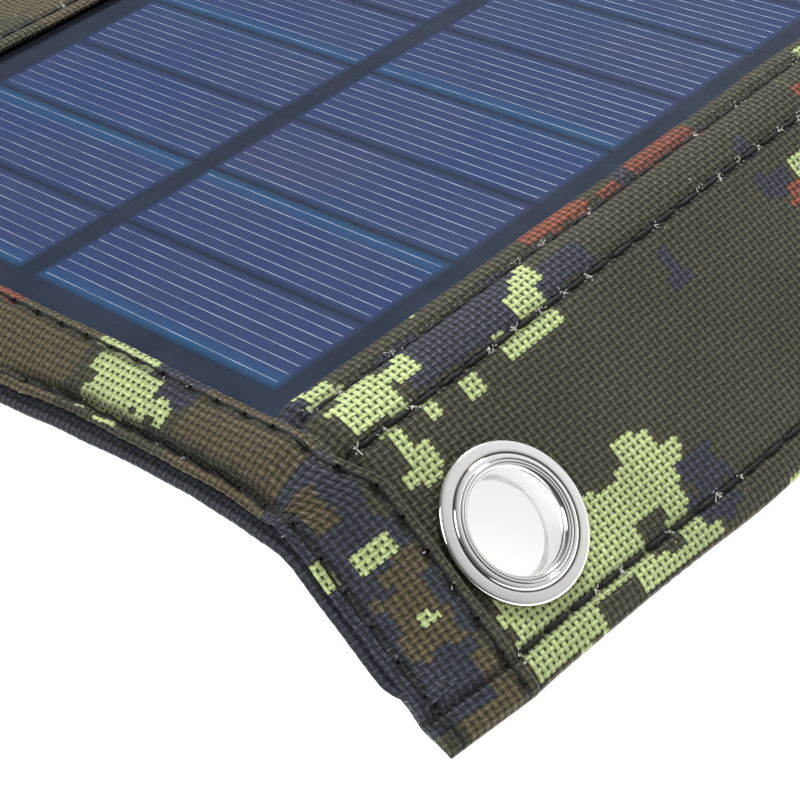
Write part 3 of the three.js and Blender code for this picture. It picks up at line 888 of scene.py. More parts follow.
def scatter_crumbs(fibres, spot, ahead, up, rng):
    """Short ends of cut yarn that lie on the cloth around a needle hole."""
    ahead = ahead / np.linalg.norm(ahead)
    across = np.cross(up, ahead)
    for _ in range(rng.integers(3, 8)):
        aside = rng.normal(0, 0.5)
        rise = rng.uniform(0.10, 0.20) + 0.45 * min(abs(aside) / 0.8, 1.0)
        middle = spot + ahead * rng.normal(0, 0.5) + across * aside + up * rise
        turn = rng.uniform(0, math.pi)
        half = (ahead * math.cos(turn) + across * math.sin(turn)) * rng.uniform(0.06, 0.17)
        fibres.add_tube([middle - half, middle + up * 0.03, middle + half], rng.uniform(0.04, 0.07), 4)


# ---- bands along the two long edges ----------------------------------------------------------------

BAND_COLUMNS, FINE_BAND_COLUMNS = 30, 46  # points across a band's grid
# Where the two rows of stitches run, as shares of a band's width on its grid.
INNER_ROW, OUTER_ROW = 0.300, 0.690
FAR_OFF = 9.0  # a distance from a seam at which it no longer shows


class BandShape:
    """Edges, heights and thickness of a band at places along the cloth, measured from a leaf's middle."""

    def __init__(self, along, kind):
        reach = np.abs(nearest_middle(along) if kind == "fold" else along)
        self.inner = BAND_INNER + 0 * reach
        self.outer = BAND_OUTER + 0 * reach
        self.inner_top = 6.42 + 0.15 * smooth(reach, 43, 46.5) - 1.6 * smooth(reach, 48.5, 53.3)
        self.outer_top = 3.05 + 0 * reach
        self.thick = 0.85 + 0 * reach
        self.tuck = 3.2 + 0 * reach
        if kind == "front":
            self.inner_top += 0.75 * smooth(along, 51.0, 57.0)
            self.outer_top += 1.25 * smooth(along, 51.0, 57.0)
            self.inner -= 2.6 * smooth(along, 51.6, 58.0)
            self.outer -= drawn_in(along)
            self.thick += 1.5 * smooth(along, 64.0, 74.0)
            self.tuck += 5.5 * smooth(along, 60.0, 66.0)
        if kind == "rear":
            onto_flap = smooth(reach, 57.0, 66.0)
            self.inner_top -= 1.9 * onto_flap
            self.outer_top -= 0.45 * onto_flap
            self.thick += 1.0 * onto_flap
            self.tuck += 4.5 * onto_flap


def nearest_middle(along):
    """Distance from the nearest leaf's middle."""
    return along - PITCH * np.round(along / PITCH)


def drawn_in(along):
    """How far the front leaf's long edges are drawn in."""
    return 1.4 * smooth(along, 8, 24) - 0.9 * smooth(along, 44, 54) + 0.4 * smooth(along, 79.0, 83.0)


def close_end(along, height, end, middle):
    """Rounds a band over where it ends; end is along, middle the height it closes to."""
    way = 1 if end > 0 else -1
    begin = end - way * END_RADIUS
    turn = np.clip((along - begin) * way / END_RADIUS, 0, math.pi / 2)
    closed = np.where(turn > 0, begin + way * END_RADIUS * np.sin(turn), along)
    return closed, middle + (height - middle) * np.cos(turn)


def band_profile(shape, wander):
    """Cross-section of a band as (distance from the centre line, height) control points."""
    edge, outer = shape.inner + wander, shape.outer + 0.5 * wander
    inner_height, outer_height, thick = shape.inner_top, shape.outer_top, shape.thick
    drop = inner_height - outer_height
    points = [
        (edge + 2.6, inner_height - 0.95),
        (edge + 0.7, inner_height - 0.95),
        (edge + 0.05, inner_height - 0.75),
        (edge - 0.05, inner_height - 0.35),
        (edge + 0.35, inner_height - 0.04),
        (edge + 1.0, inner_height),
        (edge + 1.75, inner_height - 0.28),
        (edge + 2.5, inner_height - 0.05 * drop),
        (edge + 3.6, inner_height - 0.18 * drop),
        (edge + 5.4, inner_height - 0.48 * drop + 0.22),
        (edge + 6.9, inner_height - 0.78 * drop + 0.20),
        (outer - 2.0, outer_height + 0.20),
        (outer - 1.5, outer_height - 0.02),
        (outer - 0.9, outer_height + 0.12),
        (outer - 0.25, outer_height - 0.05),
        (outer, outer_height - 0.47 * thick),
        (outer - 0.25, outer_height - 0.85 * thick),
        (outer - 1.0, outer_height - 0.95 * thick),
        (outer - shape.tuck, outer_height - thick),
    ]
    return np.stack([np.stack(np.broadcast_arrays(a, b), axis=-1) for a, b in points], axis=-2)


def thinned(section, count):
    """Keeps count evenly spaced places along each cross-section."""
    sparse = np.linspace(0, section.shape[1] - 1, count)
    low = np.floor(sparse).astype(int).clip(0, section.shape[1] - 2)
    part = (sparse - low)[None, :, None]
    return section[:, low] * (1 - part) + section[:, low + 1] * part


def band_sheet(side, stretch, place, grid, seed, patches, relief):
    """One stretch of band. side is -1 for the near edge."""
    kind, start, stop, middle = (stretch[key] for key in ("kind", "start", "stop", "middle"))
    along = np.linspace(start, stop, max(2, round((stop - start) / (YARN_X * grid)) + 1))
    shape = BandShape(along, kind)
    wander = 0.25 * ripple(along + middle, 0 * along + side * 40, 46.0, 5)
    columns = FINE_BAND_COLUMNS if relief else BAND_COLUMNS
    section = thinned(rounded_line(band_profile(shape, wander), 0), columns)
    across, height = section[..., 0], section[..., 1]
    travel = running_length(np.swapaxes(section, 0, 1)).T
    grid_along = along[:, None] + 0 * across
    yarn = np.stack([(grid_along + middle) / YARN_X, (travel + 80) / YARN_Y], axis=-1)
    from_inner = np.abs(across - shape.inner[:, None]) - BAND_INNER_SEAM
    from_outer = across - (shape.outer[:, None] - BAND_OUTER_SEAM)
    top = (travel > 2.9) & (travel < travel[:, -1:] - shape.tuck[:, None] - 0.3)
    bulge = 0.16 * ripple(grid_along + middle, across * 2.2, 15.0, seed + 4)
    pull = hump(from_inner, 1.3) + 1.2 * hump(from_outer, 1.2)
    gathers = 0.10 * np.cos(2 * math.pi * grid_along / STITCH) * pull
    height = height + (bulge + gathers) * top + yarn_relief(yarn, relief)
    across = across + 0.10 * ripple(grid_along + middle, 0 * across, 5.0, seed + 6) * smooth(across, 94, 97)
    centres = yarn_centres(yarn)
    print_along = centres[0] * YARN_X - (middle if kind == "front" else 0)
    colours = camo(print_along, side * cell_centres(across), seed, patches)
    # Painted shade in the grooves along the band's rows of stitches.
    for distance in (from_inner, from_outer):
        paint_seam_shade(colours, np.where(cell_centres(1.0 * top) > 0.5, cell_centres(distance), FAR_OFF))
    if kind == "front":
        height = height - 0.40 * hump(grid_along - FLAP_SEAM, SEAM_WIDTH) * top
        # Painted shade in the groove of the flap's seam.
        paint_seam_shade(colours, cell_centres(grid_along - FLAP_SEAM))
        grid_along, height = close_end(grid_along, height, FLAP_END, FRONT_END_MIDDLE)
        points = place(grid_along, side * across, height)
    else:
        if kind == "rear":
            grid_along, height = close_end(grid_along, height, REAR_BAND_END, REAR_END_MIDDLE)
        points = place(grid_along + middle, side * across, height)
    if side > 0:
        points, yarn, colours = points[:, ::-1], yarn[:, ::-1], colours[:, ::-1]
    return Sheet(points, yarn, colours)


def band_seam(sheet, side, inner):
    """Points and normals along a band's inner or outer row of stitches."""
    columns = sheet.points.shape[1]
    column = round((INNER_ROW if inner else OUTER_ROW) * (columns - 1))
    column = column if side < 0 else columns - 1 - column
    along = np.gradient(sheet.points[:, column], axis=0)
    across = sheet.points[:, column + 1] - sheet.points[:, column - 1]
    normal = np.cross(along, across)
    size = np.maximum(np.linalg.norm(normal, axis=1, keepdims=True), 1e-9)
    return sheet.points[:, column], normal / size


# ---- back cloth ------------------------------------------------------------------------------------

BACK_STEP = 1.6  # grid step where no yarns are shaped
BACK_SECTION = [
    (92.5, 1.60), (95.5, 1.75), (97.3, 1.85), (98.2, 1.55), (98.45, 0.95), (98.2, 0.4), (97.5, 0.08),
    (96.0, 0.0),
]


def back_sections(edge_only):
    """Cross-sections of the back cloth: both rolled edges, joined by the flat cloth or on their own."""
    far = rounded_line(BACK_SECTION, 0.28)
    near = far * (-1, 1)
    if edge_only:
        return [near, far[::-1]]
    flat = np.arange(-95.5, 95.6, 2.15)[:, None] * (1, 0)
    return [np.concatenate([near, flat, far[::-1]])]


def back_sheet(start, stop, place, step, seed, edge_only=False, relief=0.0, front=False, rear=False):
    """Back cloth between two places along the strip, with its rolled long edges."""
    rows = max(2, round((stop - start) / step) + 1)
    along = np.linspace(start, stop, rows)[:, None]
    sheets = []
    for section in back_sections(edge_only):
        across, height = section[None, :, 0] + 0 * along, section[None, :, 1] + 0 * along
        travel = running_length(section)[None, :] + 0 * along
        yarn = np.stack([along / YARN_X + 0 * across, travel / YARN_Y], axis=-1)
        rolled = smooth(np.abs(across), 95.5, 97.5)
        drawn = 0.3 + 0.3 * ripple(along, across * 0, 30.0, seed)
        if front:
            drawn = drawn + 1.1 * smooth(along, 8, 24) - 0.45 * smooth(along, 44, 54)
            drawn = drawn + 1.3 * smooth(along, BACK_ROLL_END - 5.0, BACK_ROLL_END) ** 2
            height = height + 1.1 * smooth(along, BACK_ROLL_END - 5.0, BACK_ROLL_END) * (height > 0.01)
        if rear:
            drawn = drawn + 1.5 * (1 - smooth(along, start, start + 7.0)) ** 2
        across = across - np.sign(across) * drawn * smooth(np.abs(across), 88, 94)
        bumps = yarn_relief(yarn, relief) + 0.10 * ripple(along, across, 6.0, seed + 1)
        height = height + bumps * rolled
        points = place(along + 0 * across, across, np.maximum(height, 0.02))
        sheets.append(Sheet(points[:, ::-1], yarn[:, ::-1]))
    return sheets


# ---- laminate --------------------------------------------------------------------------------------

CELL_ROWS = 12
CELL_PITCH = (41.2, 13.85)
CELL_HALF = (19.5, 6.72)
FINGER_HALF_LENGTH = 18.45
FINGER_HALF_WIDTH = 0.05
FINGER_HEIGHTS = (4.49, 4.525)
FINGER_PITCH = 1.585
FINGERS = 8
CELL_TOP = 4.5


def cell_middles():
    """(x, y, row) of each cell's middle; row 0 is at the near end."""
    across, along = CELL_PITCH
    middle_row = (CELL_ROWS - 1) / 2
    return [((column - 0.5) * across, (row - middle_row) * along, row)
            for column in (0, 1) for row in range(CELL_ROWS)]


def build_cells(leaf):
    """Thin cells cut in pairs from wider wafers, whose outer edges have a greener rim."""
    pile, looks = Pile(), []
    steps_x, steps_y = 41, 25
    sx = np.sin(np.linspace(-0.5, 0.5, steps_x) * math.pi)[:, None] * np.ones((1, steps_y))
    sy = np.sin(np.linspace(-0.5, 0.5, steps_y) * math.pi)[None, :] * np.ones((steps_x, 1))
    top = CELL_TOP - 0.06 * np.maximum(np.abs(sx) ** 24, np.abs(sy) ** 24)
    end_fade = 1 - smooth((1 - np.abs(sx)) * CELL_HALF[0], 0.2, 1.1)
    side_fade = 0.62 * (1 - smooth((1 - np.abs(sy)) * CELL_HALF[1], 0.1, 0.95))
    fade = np.maximum(end_fade, side_fade)
    for index, (cx, cy, row) in enumerate(cell_middles()):
        points = on_strip(MIDDLES[leaf] + cx + sx * CELL_HALF[0], cy + sy * CELL_HALF[1], top)
        wafer_edge = 1 if row % 2 else -1
        rim = smooth(sy * wafer_edge * CELL_HALF[1], 3.0, 6.3) * (0.25 + 0.55 * (row < 2 or row % 5 == 4))
        tone = np.full_like(sx, hash_noise(index, leaf, 7))
        pile.add(points, grid_faces(steps_x, steps_y))
        looks.append(np.stack([tone, rim, fade], axis=-1).reshape(-1, 3))
    piece = pile.piece(f"leaf_{leaf}_cells", SILICON)
    add_layer(piece, "cell", "FLOAT_VECTOR", "POINT", "vector", np.concatenate(looks))
    ride(piece, f"leaf_{leaf}", [f"leaf_{leaf}_cell_string"])
    build_silver(leaf)


def build_silver(leaf):
    """The fine silver lines printed on the cells, each a thin bar without an underside."""
    pile = Pile()
    sides = np.array([(4, 5, 6, 7), (0, 1, 5, 4), (1, 2, 6, 5), (2, 3, 7, 6), (3, 0, 4, 7)])
    corners = [(-1, -1), (1, -1), (1, 1), (-1, 1)]
    for cx, cy, _ in cell_middles():
        for finger in range(FINGERS):
            y = cy + (finger - (FINGERS - 1) / 2) * FINGER_PITCH
            bar = np.array([(cx + i * FINGER_HALF_LENGTH, y + j * FINGER_HALF_WIDTH, height)
                            for height in FINGER_HEIGHTS for i, j in corners])
            pile.add(on_strip(MIDDLES[leaf] + bar[:, 0], bar[:, 1], bar[:, 2]), sides)
    ride(pile.piece(f"leaf_{leaf}_silver_lines", SILVER, False), f"leaf_{leaf}")


def build_backing(leaf):
    """Dark backing sheet that the cells are embedded in, flush around their edges."""
    low, high = box_mm("leaf_2_backsheet")
    half_x, half_y = (high - low)[:2] / 2
    outline = np.array([
        (-half_x, low[2]), (-half_x, 4.34), (-half_x + 0.1, 4.42), (half_x - 0.1, 4.42), (half_x, 4.34),
        (half_x, low[2]), (-half_x, low[2]),
    ])
    x, h = outline[:, :1], outline[:, 1:]
    y = np.linspace(-half_y, half_y, 40)[None, :]
    points = on_strip(MIDDLES[leaf] + x + 0 * y, y + 0 * x, h + 0 * y)
    piece = new_piece(f"leaf_{leaf}_backing", points, grid_faces(len(outline), 40), BACKSHEET, False)
    ride(piece, f"leaf_{leaf}", [f"leaf_{leaf}_backsheet"])


def build_film(leaf):
    """The clear face of the laminate, very slightly uneven."""
    low, high = box_mm("leaf_2_front_film")
    half_x, half_y = (high - low)[:2] / 2
    top = high[2] - 0.04
    x = np.linspace(-half_x, half_x, 60)[:, None]
    y = np.linspace(-half_y, half_y, 110)[None, :]
    height = top + 0.014 * ripple(x + 130 * leaf, y, 60.0, 40 + leaf)
    points = on_strip(MIDDLES[leaf] + x + 0 * y, y + 0 * x, height)
    piece = new_piece(f"leaf_{leaf}_clear_film", points, grid_faces(60, 110), FILM)
    ride(piece, f"leaf_{leaf}", [f"leaf_{leaf}_front_film"])


# ---- eyelets ---------------------------------------------------------------------------------------

# Section of the flanged tube: (radius, height above the flange's seat, how much painted shade and dark
# reflection the plating gets there).
EYELET_TOP = [
    (5.95, 0.02, 1.0), (7.6, 0.02, 1.0), (8.32, 0.04, 0.8), (8.44, 0.14, 0.7), (8.46, 0.30, 0.5),
    (8.43, 0.46, 0.2), (8.37, 0.57, 0.0), (8.25, 0.66, 0.0), (8.08, 0.71, 0.0), (7.80, 0.74, 0.0),
    (7.50, 0.77, 0.0), (7.22, 0.79, 0.1), (7.10, 0.74, 0.9), (7.03, 0.70, 1.0), (6.97, 0.74, 0.9),
    (6.90, 0.86, 0.1), (6.74, 0.95, 0.0), (6.52, 1.00, 0.0), (6.40, 0.98, 0.1), (6.35, 0.92, 0.9),
    (6.30, 0.92, 0.9), (6.25, 0.97, 0.1), (6.14, 1.00, 0.0), (6.05, 0.99, 0.1), (6.01, 0.94, 0.8),
    (5.96, 0.94, 0.8), (5.91, 0.97, 0.1), (5.82, 0.96, 0.0), (5.72, 0.90, 0.5), (5.66, 0.84, 0.7),
    (5.58, 0.78, 0.1), (5.46, 0.58, 0.0), (5.38, 0.35, 0.0), (5.35, 0.10, 0.0),
]
# Section of the washer: (radius, height above its foot, how much painted shade and dark reflection the
# plating gets there).
WASHER_SECTION = [
    (6.30, 0.0, 0.2), (7.2, 0.0, 0.0), (7.75, 0.05, 0.0), (8.0, 0.28, 0.1), (7.96, 0.5, 0.6), (7.2, 0.5, 0.8),
    (6.30, 0.5, 0.8), (6.30, 0.0, 0.5),
]


def lathe(name, section, place, segments=160):
    """A turned piece of plated metal; place maps (x, y, height) about its own axis to the frame."""
    section = np.asarray(section, float)
    angles = np.linspace(0, 2 * math.pi, segments, endpoint=False)
    radius, height = section[:, :1], section[:, 1:2] + 0 * angles
    points = place(radius * np.cos(angles), radius * np.sin(angles), height)
    index = np.arange(len(section) * segments).reshape(len(section), segments)
    after = np.roll(index, -1, axis=1)
    quads = np.stack([index[:-1], index[1:], after[1:], after[:-1]], axis=-1).reshape(-1, 4)
    piece = new_piece(name, points, quads, NICKEL)
    # Painted shade of each ring of the section, for the nickel's grooves.
    add_layer(piece, "groove", "FLOAT", "POINT", "value", np.repeat(section[:, 2], segments))
    return piece


def build_eyelet(name, body, place, seat, foot):
    """Flanged tube and the washer under the cloth. seat and foot are heights in place's coordinates."""
    tube_section = [(radius, seat + height, painted_shade) for radius, height, painted_shade in EYELET_TOP]
    tube_section += [(5.35, foot + 0.12, 0), (5.45, foot, 0), (5.85, foot, 0), (5.95, foot + 0.12, 0.5),
                     (5.95, seat + 0.02, 1)]
    barrel = lathe(f"{name}_eyelet_flange", tube_section, place)
    ride(barrel, body, [f"{name}_eyelet_barrel"])
    washer_section = [(radius, foot + height, painted_shade) for radius, height, painted_shade in WASHER_SECTION]
    washer = lathe(f"{name}_eyelet_backing", washer_section, place, 96)
    ride(washer, body, [f"{name}_eyelet_washer"])


def build_eyelets():
    """Two eyelets in the front flap and two in the rear one."""

    def in_front(a, b, h):
        return place_flap(FRONT_EYELET + a, b, h)

    def in_rear(a, b, h):
        return on_strip(REAR_FOLD[0] - REAR_EYELET + a, b, h)

    for flap, place, seat, foot in (("front", in_front, 4.4, 1.1), ("rear", in_rear, 2.6, 0.1)):
        for side, y in (("near", -EYELET_Y), ("far", EYELET_Y)):
            build_eyelet(
                f"{flap}_{side}", f"{flap}_flap", lambda a, b, h, y=y: place(a, y + b, h), seat, foot)


# ---- assembly of the strip -------------------------------------------------------------------------


def side_view(place, along, height):
    """(x, z) in the frame of a place on the centre line."""
    x, _, z = place(np.array(along), np.array(0.0), np.array(height))
    return x, z


def blend_line(fold, height=5.0):
    """The two places between which cloth bends at a leaf-to-leaf fold, front side first."""
    return tuple(side_view(on_strip, fold[0] + reach, height) for reach in (BLEND_REACH, -BLEND_REACH))


def flap_blend():
    """The two places between which the front flap's cloth turns."""
    return tuple(side_view(place_front, OUTER_SEAM + past, OUTER_SEAM_H) for past in (0.2, 5.0))


def declare(width):
    """Takes the size that a piece is cut to, in millimetres, and does nothing with it; width is not used."""
    width * MM


def build_front_cover(rng):
    """Cloth from leaf 1's front window edge over the fold to the front flap, with its eyelet holes."""
    sheet = extruded_cloth(
        FRONT_PROFILE, COVER_HALF, FINE, RELIEF, (INNER_SEAM, OUTER_SEAM, FLAP_SEAM), place_front, 11,
        COVER_PATCHES, under_band)
    centres = [place_flap(np.array(FRONT_EYELET), np.array(y), np.array(w))
               for y in (-EYELET_Y, EYELET_Y) for w in (1.9, 4.3)]
    cut_eyelet_holes(sheet, centres)
    piece = cloth_piece("front_cover_cloth", [sheet], CAMO_CLOTH)
    nodes = ["leaf_1_front_strip", "front_flap_cloth"]
    bend(piece, ("leaf_1", "front_flap"), *flap_blend(), "camo_canvas", nodes)
    declare(FRONT_COVER_CUT)
    sew_rows("leaf_1_cover", "leaf_1", sheet, (INNER_SEAM, OUTER_SEAM), rng, lint=0.6)
    sew_rows("front_flap_cover", "front_flap", sheet, (FLAP_SEAM,), rng, FLAP_SEAM_REACH, 0.6)


def build_fold_strip(rng, front_leaf, rear_leaf, fold):
    """Cloth over the fold between two leaves, hem to hem."""
    profile = [(MIDDLES[rear_leaf] + d, h) for d, h in STRIP_HALF] + [(fold[0], 4.1)]
    profile += [(MIDDLES[front_leaf] - d, h) for d, h in STRIP_HALF[::-1]]
    seams = [MIDDLES[rear_leaf] + INNER_SEAM, MIDDLES[rear_leaf] + OUTER_SEAM,
             MIDDLES[front_leaf] - OUTER_SEAM, MIDDLES[front_leaf] - INNER_SEAM]
    sheet = extruded_cloth(
        profile, COVER_HALF, COARSE, 0.0, seams, on_strip, 20 + front_leaf, sink=under_band)
    piece = cloth_piece(f"fold_{front_leaf}_{rear_leaf}_cloth", [sheet], CAMO_CLOTH)
    nodes = [f"leaf_{front_leaf}_rear_strip", f"leaf_{rear_leaf}_front_strip"]
    bend(piece, (f"leaf_{front_leaf}", f"leaf_{rear_leaf}"), *blend_line(fold), "camo_canvas", nodes)
    declare(FOLD_STRIP_CUT)
    for leaf, pair in ((rear_leaf, seams[:2]), (front_leaf, seams[2:])):
        name = f"leaf_{leaf}_fold_{front_leaf}{rear_leaf}"
        sew_rows(name, f"leaf_{leaf}", sheet, pair, rng)


def sew_rows(name, body, sheet, seams, rng, reach=SEAM_REACH, lint=0.4):
    """Rows of stitches through a sheet, on one body."""
    threads, fibres = Strands(), Strands()
    for seam in seams:
        points, normals = seam_line(sheet, seam)
        inside = np.abs(points[:, 1]) < reach
        sew(threads, fibres, points[inside], normals[inside], rng, lint)
    ride(threads.piece(f"{name}_thread", THREAD), body)
    ride(fibres.piece(f"{name}_fibres", LINT), body)


def build_rear_cover(rng):
    """Cloth from leaf 4's rear window edge over the last fold to the rear flap's folded end."""
    rear = REAR_FOLD[0] - REAR_END
    profile = [
        (REAR_FOLD[0] - 1.0, 0.92), (rear + 20.0, 0.90), (rear + 1.6, 0.90), (rear + 0.4, 1.05),
        (rear + 0.1, 1.6), (rear + 0.5, 2.15), (rear + 1.6, 2.32), (rear + 3.4, 2.25), (rear + 8.0, 2.45),
        (REAR_FOLD[0] - 30.0, 2.42), (REAR_FOLD[0] - 7.0, 2.5), (REAR_FOLD[0] - 3.0, 3.2),
        (REAR_FOLD[0], 4.0),
    ]
    profile += [(MIDDLES[4] - d, h) for d, h in STRIP_HALF[::-1]]
    seams = [MIDDLES[4] - OUTER_SEAM, MIDDLES[4] - INNER_SEAM, rear + 3.6]
    sheet = extruded_cloth(profile, COVER_HALF, COARSE, 0.0, seams, on_strip, 31, sink=under_band)
    x = REAR_FOLD[0] - REAR_EYELET
    cut_eyelet_holes(sheet, [(x, y, h) for y in (-EYELET_Y, EYELET_Y) for h in (0.9, 2.4)])
    piece = cloth_piece("rear_cover_cloth", [sheet], CAMO_CLOTH)
    bend(piece, ("leaf_4", "rear_flap"), *REAR_BLEND, "camo_canvas", ["leaf_4_rear_strip", "rear_flap_cloth"])
    declare(REAR_COVER_CUT)
    sew_rows("leaf_4_rear", "leaf_4", sheet, seams[:2], rng)
    sew_rows("rear_flap_end", "rear_flap", sheet, seams[2:], rng)


def band_stretches():
    """Each stretch of band and back cloth: its fold, the cloth it covers and where it bends."""
    stretches = [{
        "name": "front", "kind": "front", "bodies": ("leaf_1", "front_flap"), "start": 0.0,
        "stop": FLAP_END + END_RADIUS * (math.pi / 2 - 1), "middle": FRONT, "blend": flap_blend(),
    }]
    for leaf, fold in FOLDS.items():
        stretches.append({
            "name": f"fold_{leaf}_{leaf + 1}", "kind": "fold", "bodies": (f"leaf_{leaf}", f"leaf_{leaf + 1}"),
            "start": -PITCH, "stop": 0.0, "middle": MIDDLES[leaf], "blend": blend_line(fold),
        })
    stretches.append({
        "name": "rear", "kind": "rear", "bodies": ("leaf_4", "rear_flap"),
        "start": REAR_BAND_END - END_RADIUS * (math.pi / 2 - 1), "stop": 0.0, "middle": MIDDLES[4],
        "blend": REAR_BLEND,
    })
    return stretches


def build_bands(rng):
    """The edge bands, near and far, over every fold."""
    for stretch in band_stretches():
        for side, edge in ((-1, "near"), (1, "far")):
            build_band(stretch, side, edge, rng)


def build_band(stretch, side, edge, rng):
    """One band over one fold, with its two rows of stitches."""
    name, bodies, blend = stretch["name"], stretch["bodies"], stretch["blend"]
    front = stretch["kind"] == "front"
    fine = front and side < 0
    grid, patches, relief = (FINE, NEAR_BAND_PATCHES, RELIEF) if fine else (COARSE, (), 0.0)
    place = place_front if front else on_strip
    sheet = band_sheet(side, stretch, place, grid, 50 + 7 * side, patches, relief)
    piece = cloth_piece(f"{edge}_band_{name}", [sheet], CAMO_CLOTH)
    nodes = [f"{body}_{edge}_band" for body in bodies if body.startswith("leaf")]
    bend(piece, bodies, *blend, "camo_canvas", nodes)
    declare(stretch["stop"] - stretch["start"])
    threads, fibres = Strands(), Strands()
    for inner in (True, False):
        points, normals = band_seam(sheet, side, inner)
        ends = 5 if stretch["kind"] != "fold" else 0
        sewn = slice(ends, len(points) - ends)
        sew(threads, fibres, points[sewn], normals[sewn], rng, 0.95 if fine else 0.4)
    bend(threads.piece(f"{edge}_band_{name}_thread", THREAD), bodies, *blend)
    bend(fibres.piece(f"{edge}_band_{name}_fibres", LINT), bodies, *blend)


def build_back():
    """The back cloth, one piece for each fold, from mid-leaf to mid-leaf."""
    for stretch in band_stretches():
        name, bodies, middle = stretch["name"], stretch["bodies"], stretch["middle"]
        nodes = [f"{body}_back_cloth" for body in bodies if body.startswith("leaf")]
        sheets = []
        if name == "front":
            step = YARN_X * FINE
            for start, stop, edge_only in ((0.0, BACK_FLAT_END, False), (BACK_FLAT_END, BACK_ROLL_END, True)):
                sheets += back_sheet(start, stop, place_front_back, step, 61, edge_only, RELIEF, front=True)
        elif name == "rear":
            sheets = back_sheet(REAR_FOLD[0] + 0.3, middle, on_strip, BACK_STEP, 62, rear=True)
        else:
            sheets = back_sheet(middle - PITCH, middle, on_strip, BACK_STEP, 62)
        piece = cloth_piece(f"back_cloth_{name}", sheets, BACK_CLOTH)
        bend(piece, bodies, *stretch["blend"], "back_canvas", nodes)
        length = {"front": FRONT_BACK_CUT, "rear": PITCH / 2}.get(name, PITCH)
        declare(length)


# ---- pouch and controller --------------------------------------------------------------------------


def rounded_rectangle(low, high, radius, step):
    """Closed line around a rectangle with rounded corners, and the outward direction along it."""
    half = np.array([(high[0] - low[0]) / 2, (high[1] - low[1]) / 2])
    centre = (np.array(low[:2]) + np.array(high[:2])) / 2
    path = []
    for turn, (sx, sy) in enumerate(((1, -1), (1, 1), (-1, 1), (-1, -1))):
        corner = centre + (half - radius) * np.array([sx, sy])
        for angle in np.radians(np.linspace(-90, 0, 9) + 90 * turn):
            path.append(corner + radius * np.array([math.cos(angle), math.sin(angle)]))
    path.append(path[0])
    path = rounded_line(path, step, 0)
    tangent = np.gradient(path, axis=0)
    tangent[0] = tangent[-1] = tangent[1]
    outward = np.stack([tangent[:, 1], -tangent[:, 0]], axis=1)
    return path, outward / np.linalg.norm(outward, axis=1, keepdims=True)


def build_pouch_wall():
    """The pouch's open-topped cloth wall, with rounded corners and a hemmed rim."""
    low, high = box_mm("pouch_wall")
    wall, z0, z1, seed = 0.8, low[2] - 0.1, high[2], 71
    path, outward = rounded_rectangle(low, high, 2.4, 0.9)
    travel = running_length(path)
    section = rounded_line([
        (-wall, z0), (-wall, z1 - 1.2), (-wall, z1 - 0.3), (-wall / 2, z1), (0, z1 - 0.3), (0.1, z1 - 1.4),
        (-0.05, z1 - 1.9), (0.15, z1 - 2.6), (0.3, (z0 + z1) / 2), (0.1, z0 + 0.6), (0.0, z0),
    ], 0.5)
    length = running_length(section)
    sag = 0.35 * ripple(travel, 0 * travel, 26.0, seed)[:, None]
    offset = section[None, :, 0] + sag * np.sin(math.pi * (section[None, :, 1] - z0) / (z1 - z0))
    points = np.concatenate([
        path[:, None, :] + outward[:, None, :] * offset[..., None],
        (section[None, :, 1] + 0 * offset)[..., None]], axis=-1)
    yarn = np.stack([travel[:, None] / YARN_X + 0 * offset, length[None, :] / YARN_Y + 0 * offset], axis=-1)
    centres = yarn_centres(yarn)
    sheet = Sheet(points, yarn, camo(centres[0] * YARN_X, centres[1] * YARN_Y, seed))
    piece = cloth_piece("pouch_side_cloth", [sheet], CAMO_CLOTH)
    ride(piece, "rear_flap", ["pouch_wall"])
    declare(travel[-1])


def build_pouch_lid(rng):
    """The pouch's lid, with a turned-down lip and two rows of stitches."""
    low, high = box_mm("pouch_lid")
    top, lip, foot = high[2], low[0], low[2]
    profile = [
        (high[0] - 2.0, top - 0.62), (lip + 4.0, top - 0.62), (lip + 1.1, top - 0.9),
        (lip + 0.8, top - 1.8), (lip + 0.8, foot + 1.0), (lip + 0.7, foot + 0.2), (lip + 0.35, foot),
        (lip, foot + 0.3), (lip, foot + 1.4), (lip, top - 1.6), (lip + 0.3, top - 0.5), (lip + 1.4, top),
        (lip + 2.6, top - 0.2), (lip + 6.0, top + 0.1), ((lip + high[0]) / 2, top + 0.35),
        (high[0] - 4.0, top), (high[0] - 0.6, top - 0.05), (high[0], top - 0.35),
        (high[0] - 0.4, top - 0.6), (high[0] - 2.0, top - 0.61),
    ]
    seams = (lip + 2.8, high[0] - 2.6)
    sheet = extruded_cloth(profile, high[1], COARSE, 0.0, seams, on_strip, 83)
    piece = cloth_piece("pouch_lid_cloth", [sheet], CAMO_CLOTH)
    ride(piece, "pouch_lid", ["pouch_lid"])
    declare(2 * (high[0] - lip) + 16.0)
    sew_rows("pouch_lid", "pouch_lid", sheet, seams, rng, high[1] - 1.0)


def bevelled_copy(name, node, material, width):
    """A CAD node's shape with its edges rounded as moulding leaves them."""
    mesh = frame["nodes"][node].data.copy()
    mesh.name = name
    mesh.materials.clear()
    mesh.materials.append(material)
    piece = add_object(name, mesh)
    weld = piece.modifiers.new("weld", "WELD")
    weld.merge_threshold = 0.00001
    flatten = piece.modifiers.new("flatten", "DECIMATE")
    flatten.decimate_type, flatten.angle_limit = "DISSOLVE", math.radians(1)
    rounding = piece.modifiers.new("rounding", "BEVEL")
    rounding.width, rounding.segments, rounding.limit_method = width * MM, 3, "ANGLE"
    rounding.harden_normals = True
    ride(piece, "rear_flap", [node])


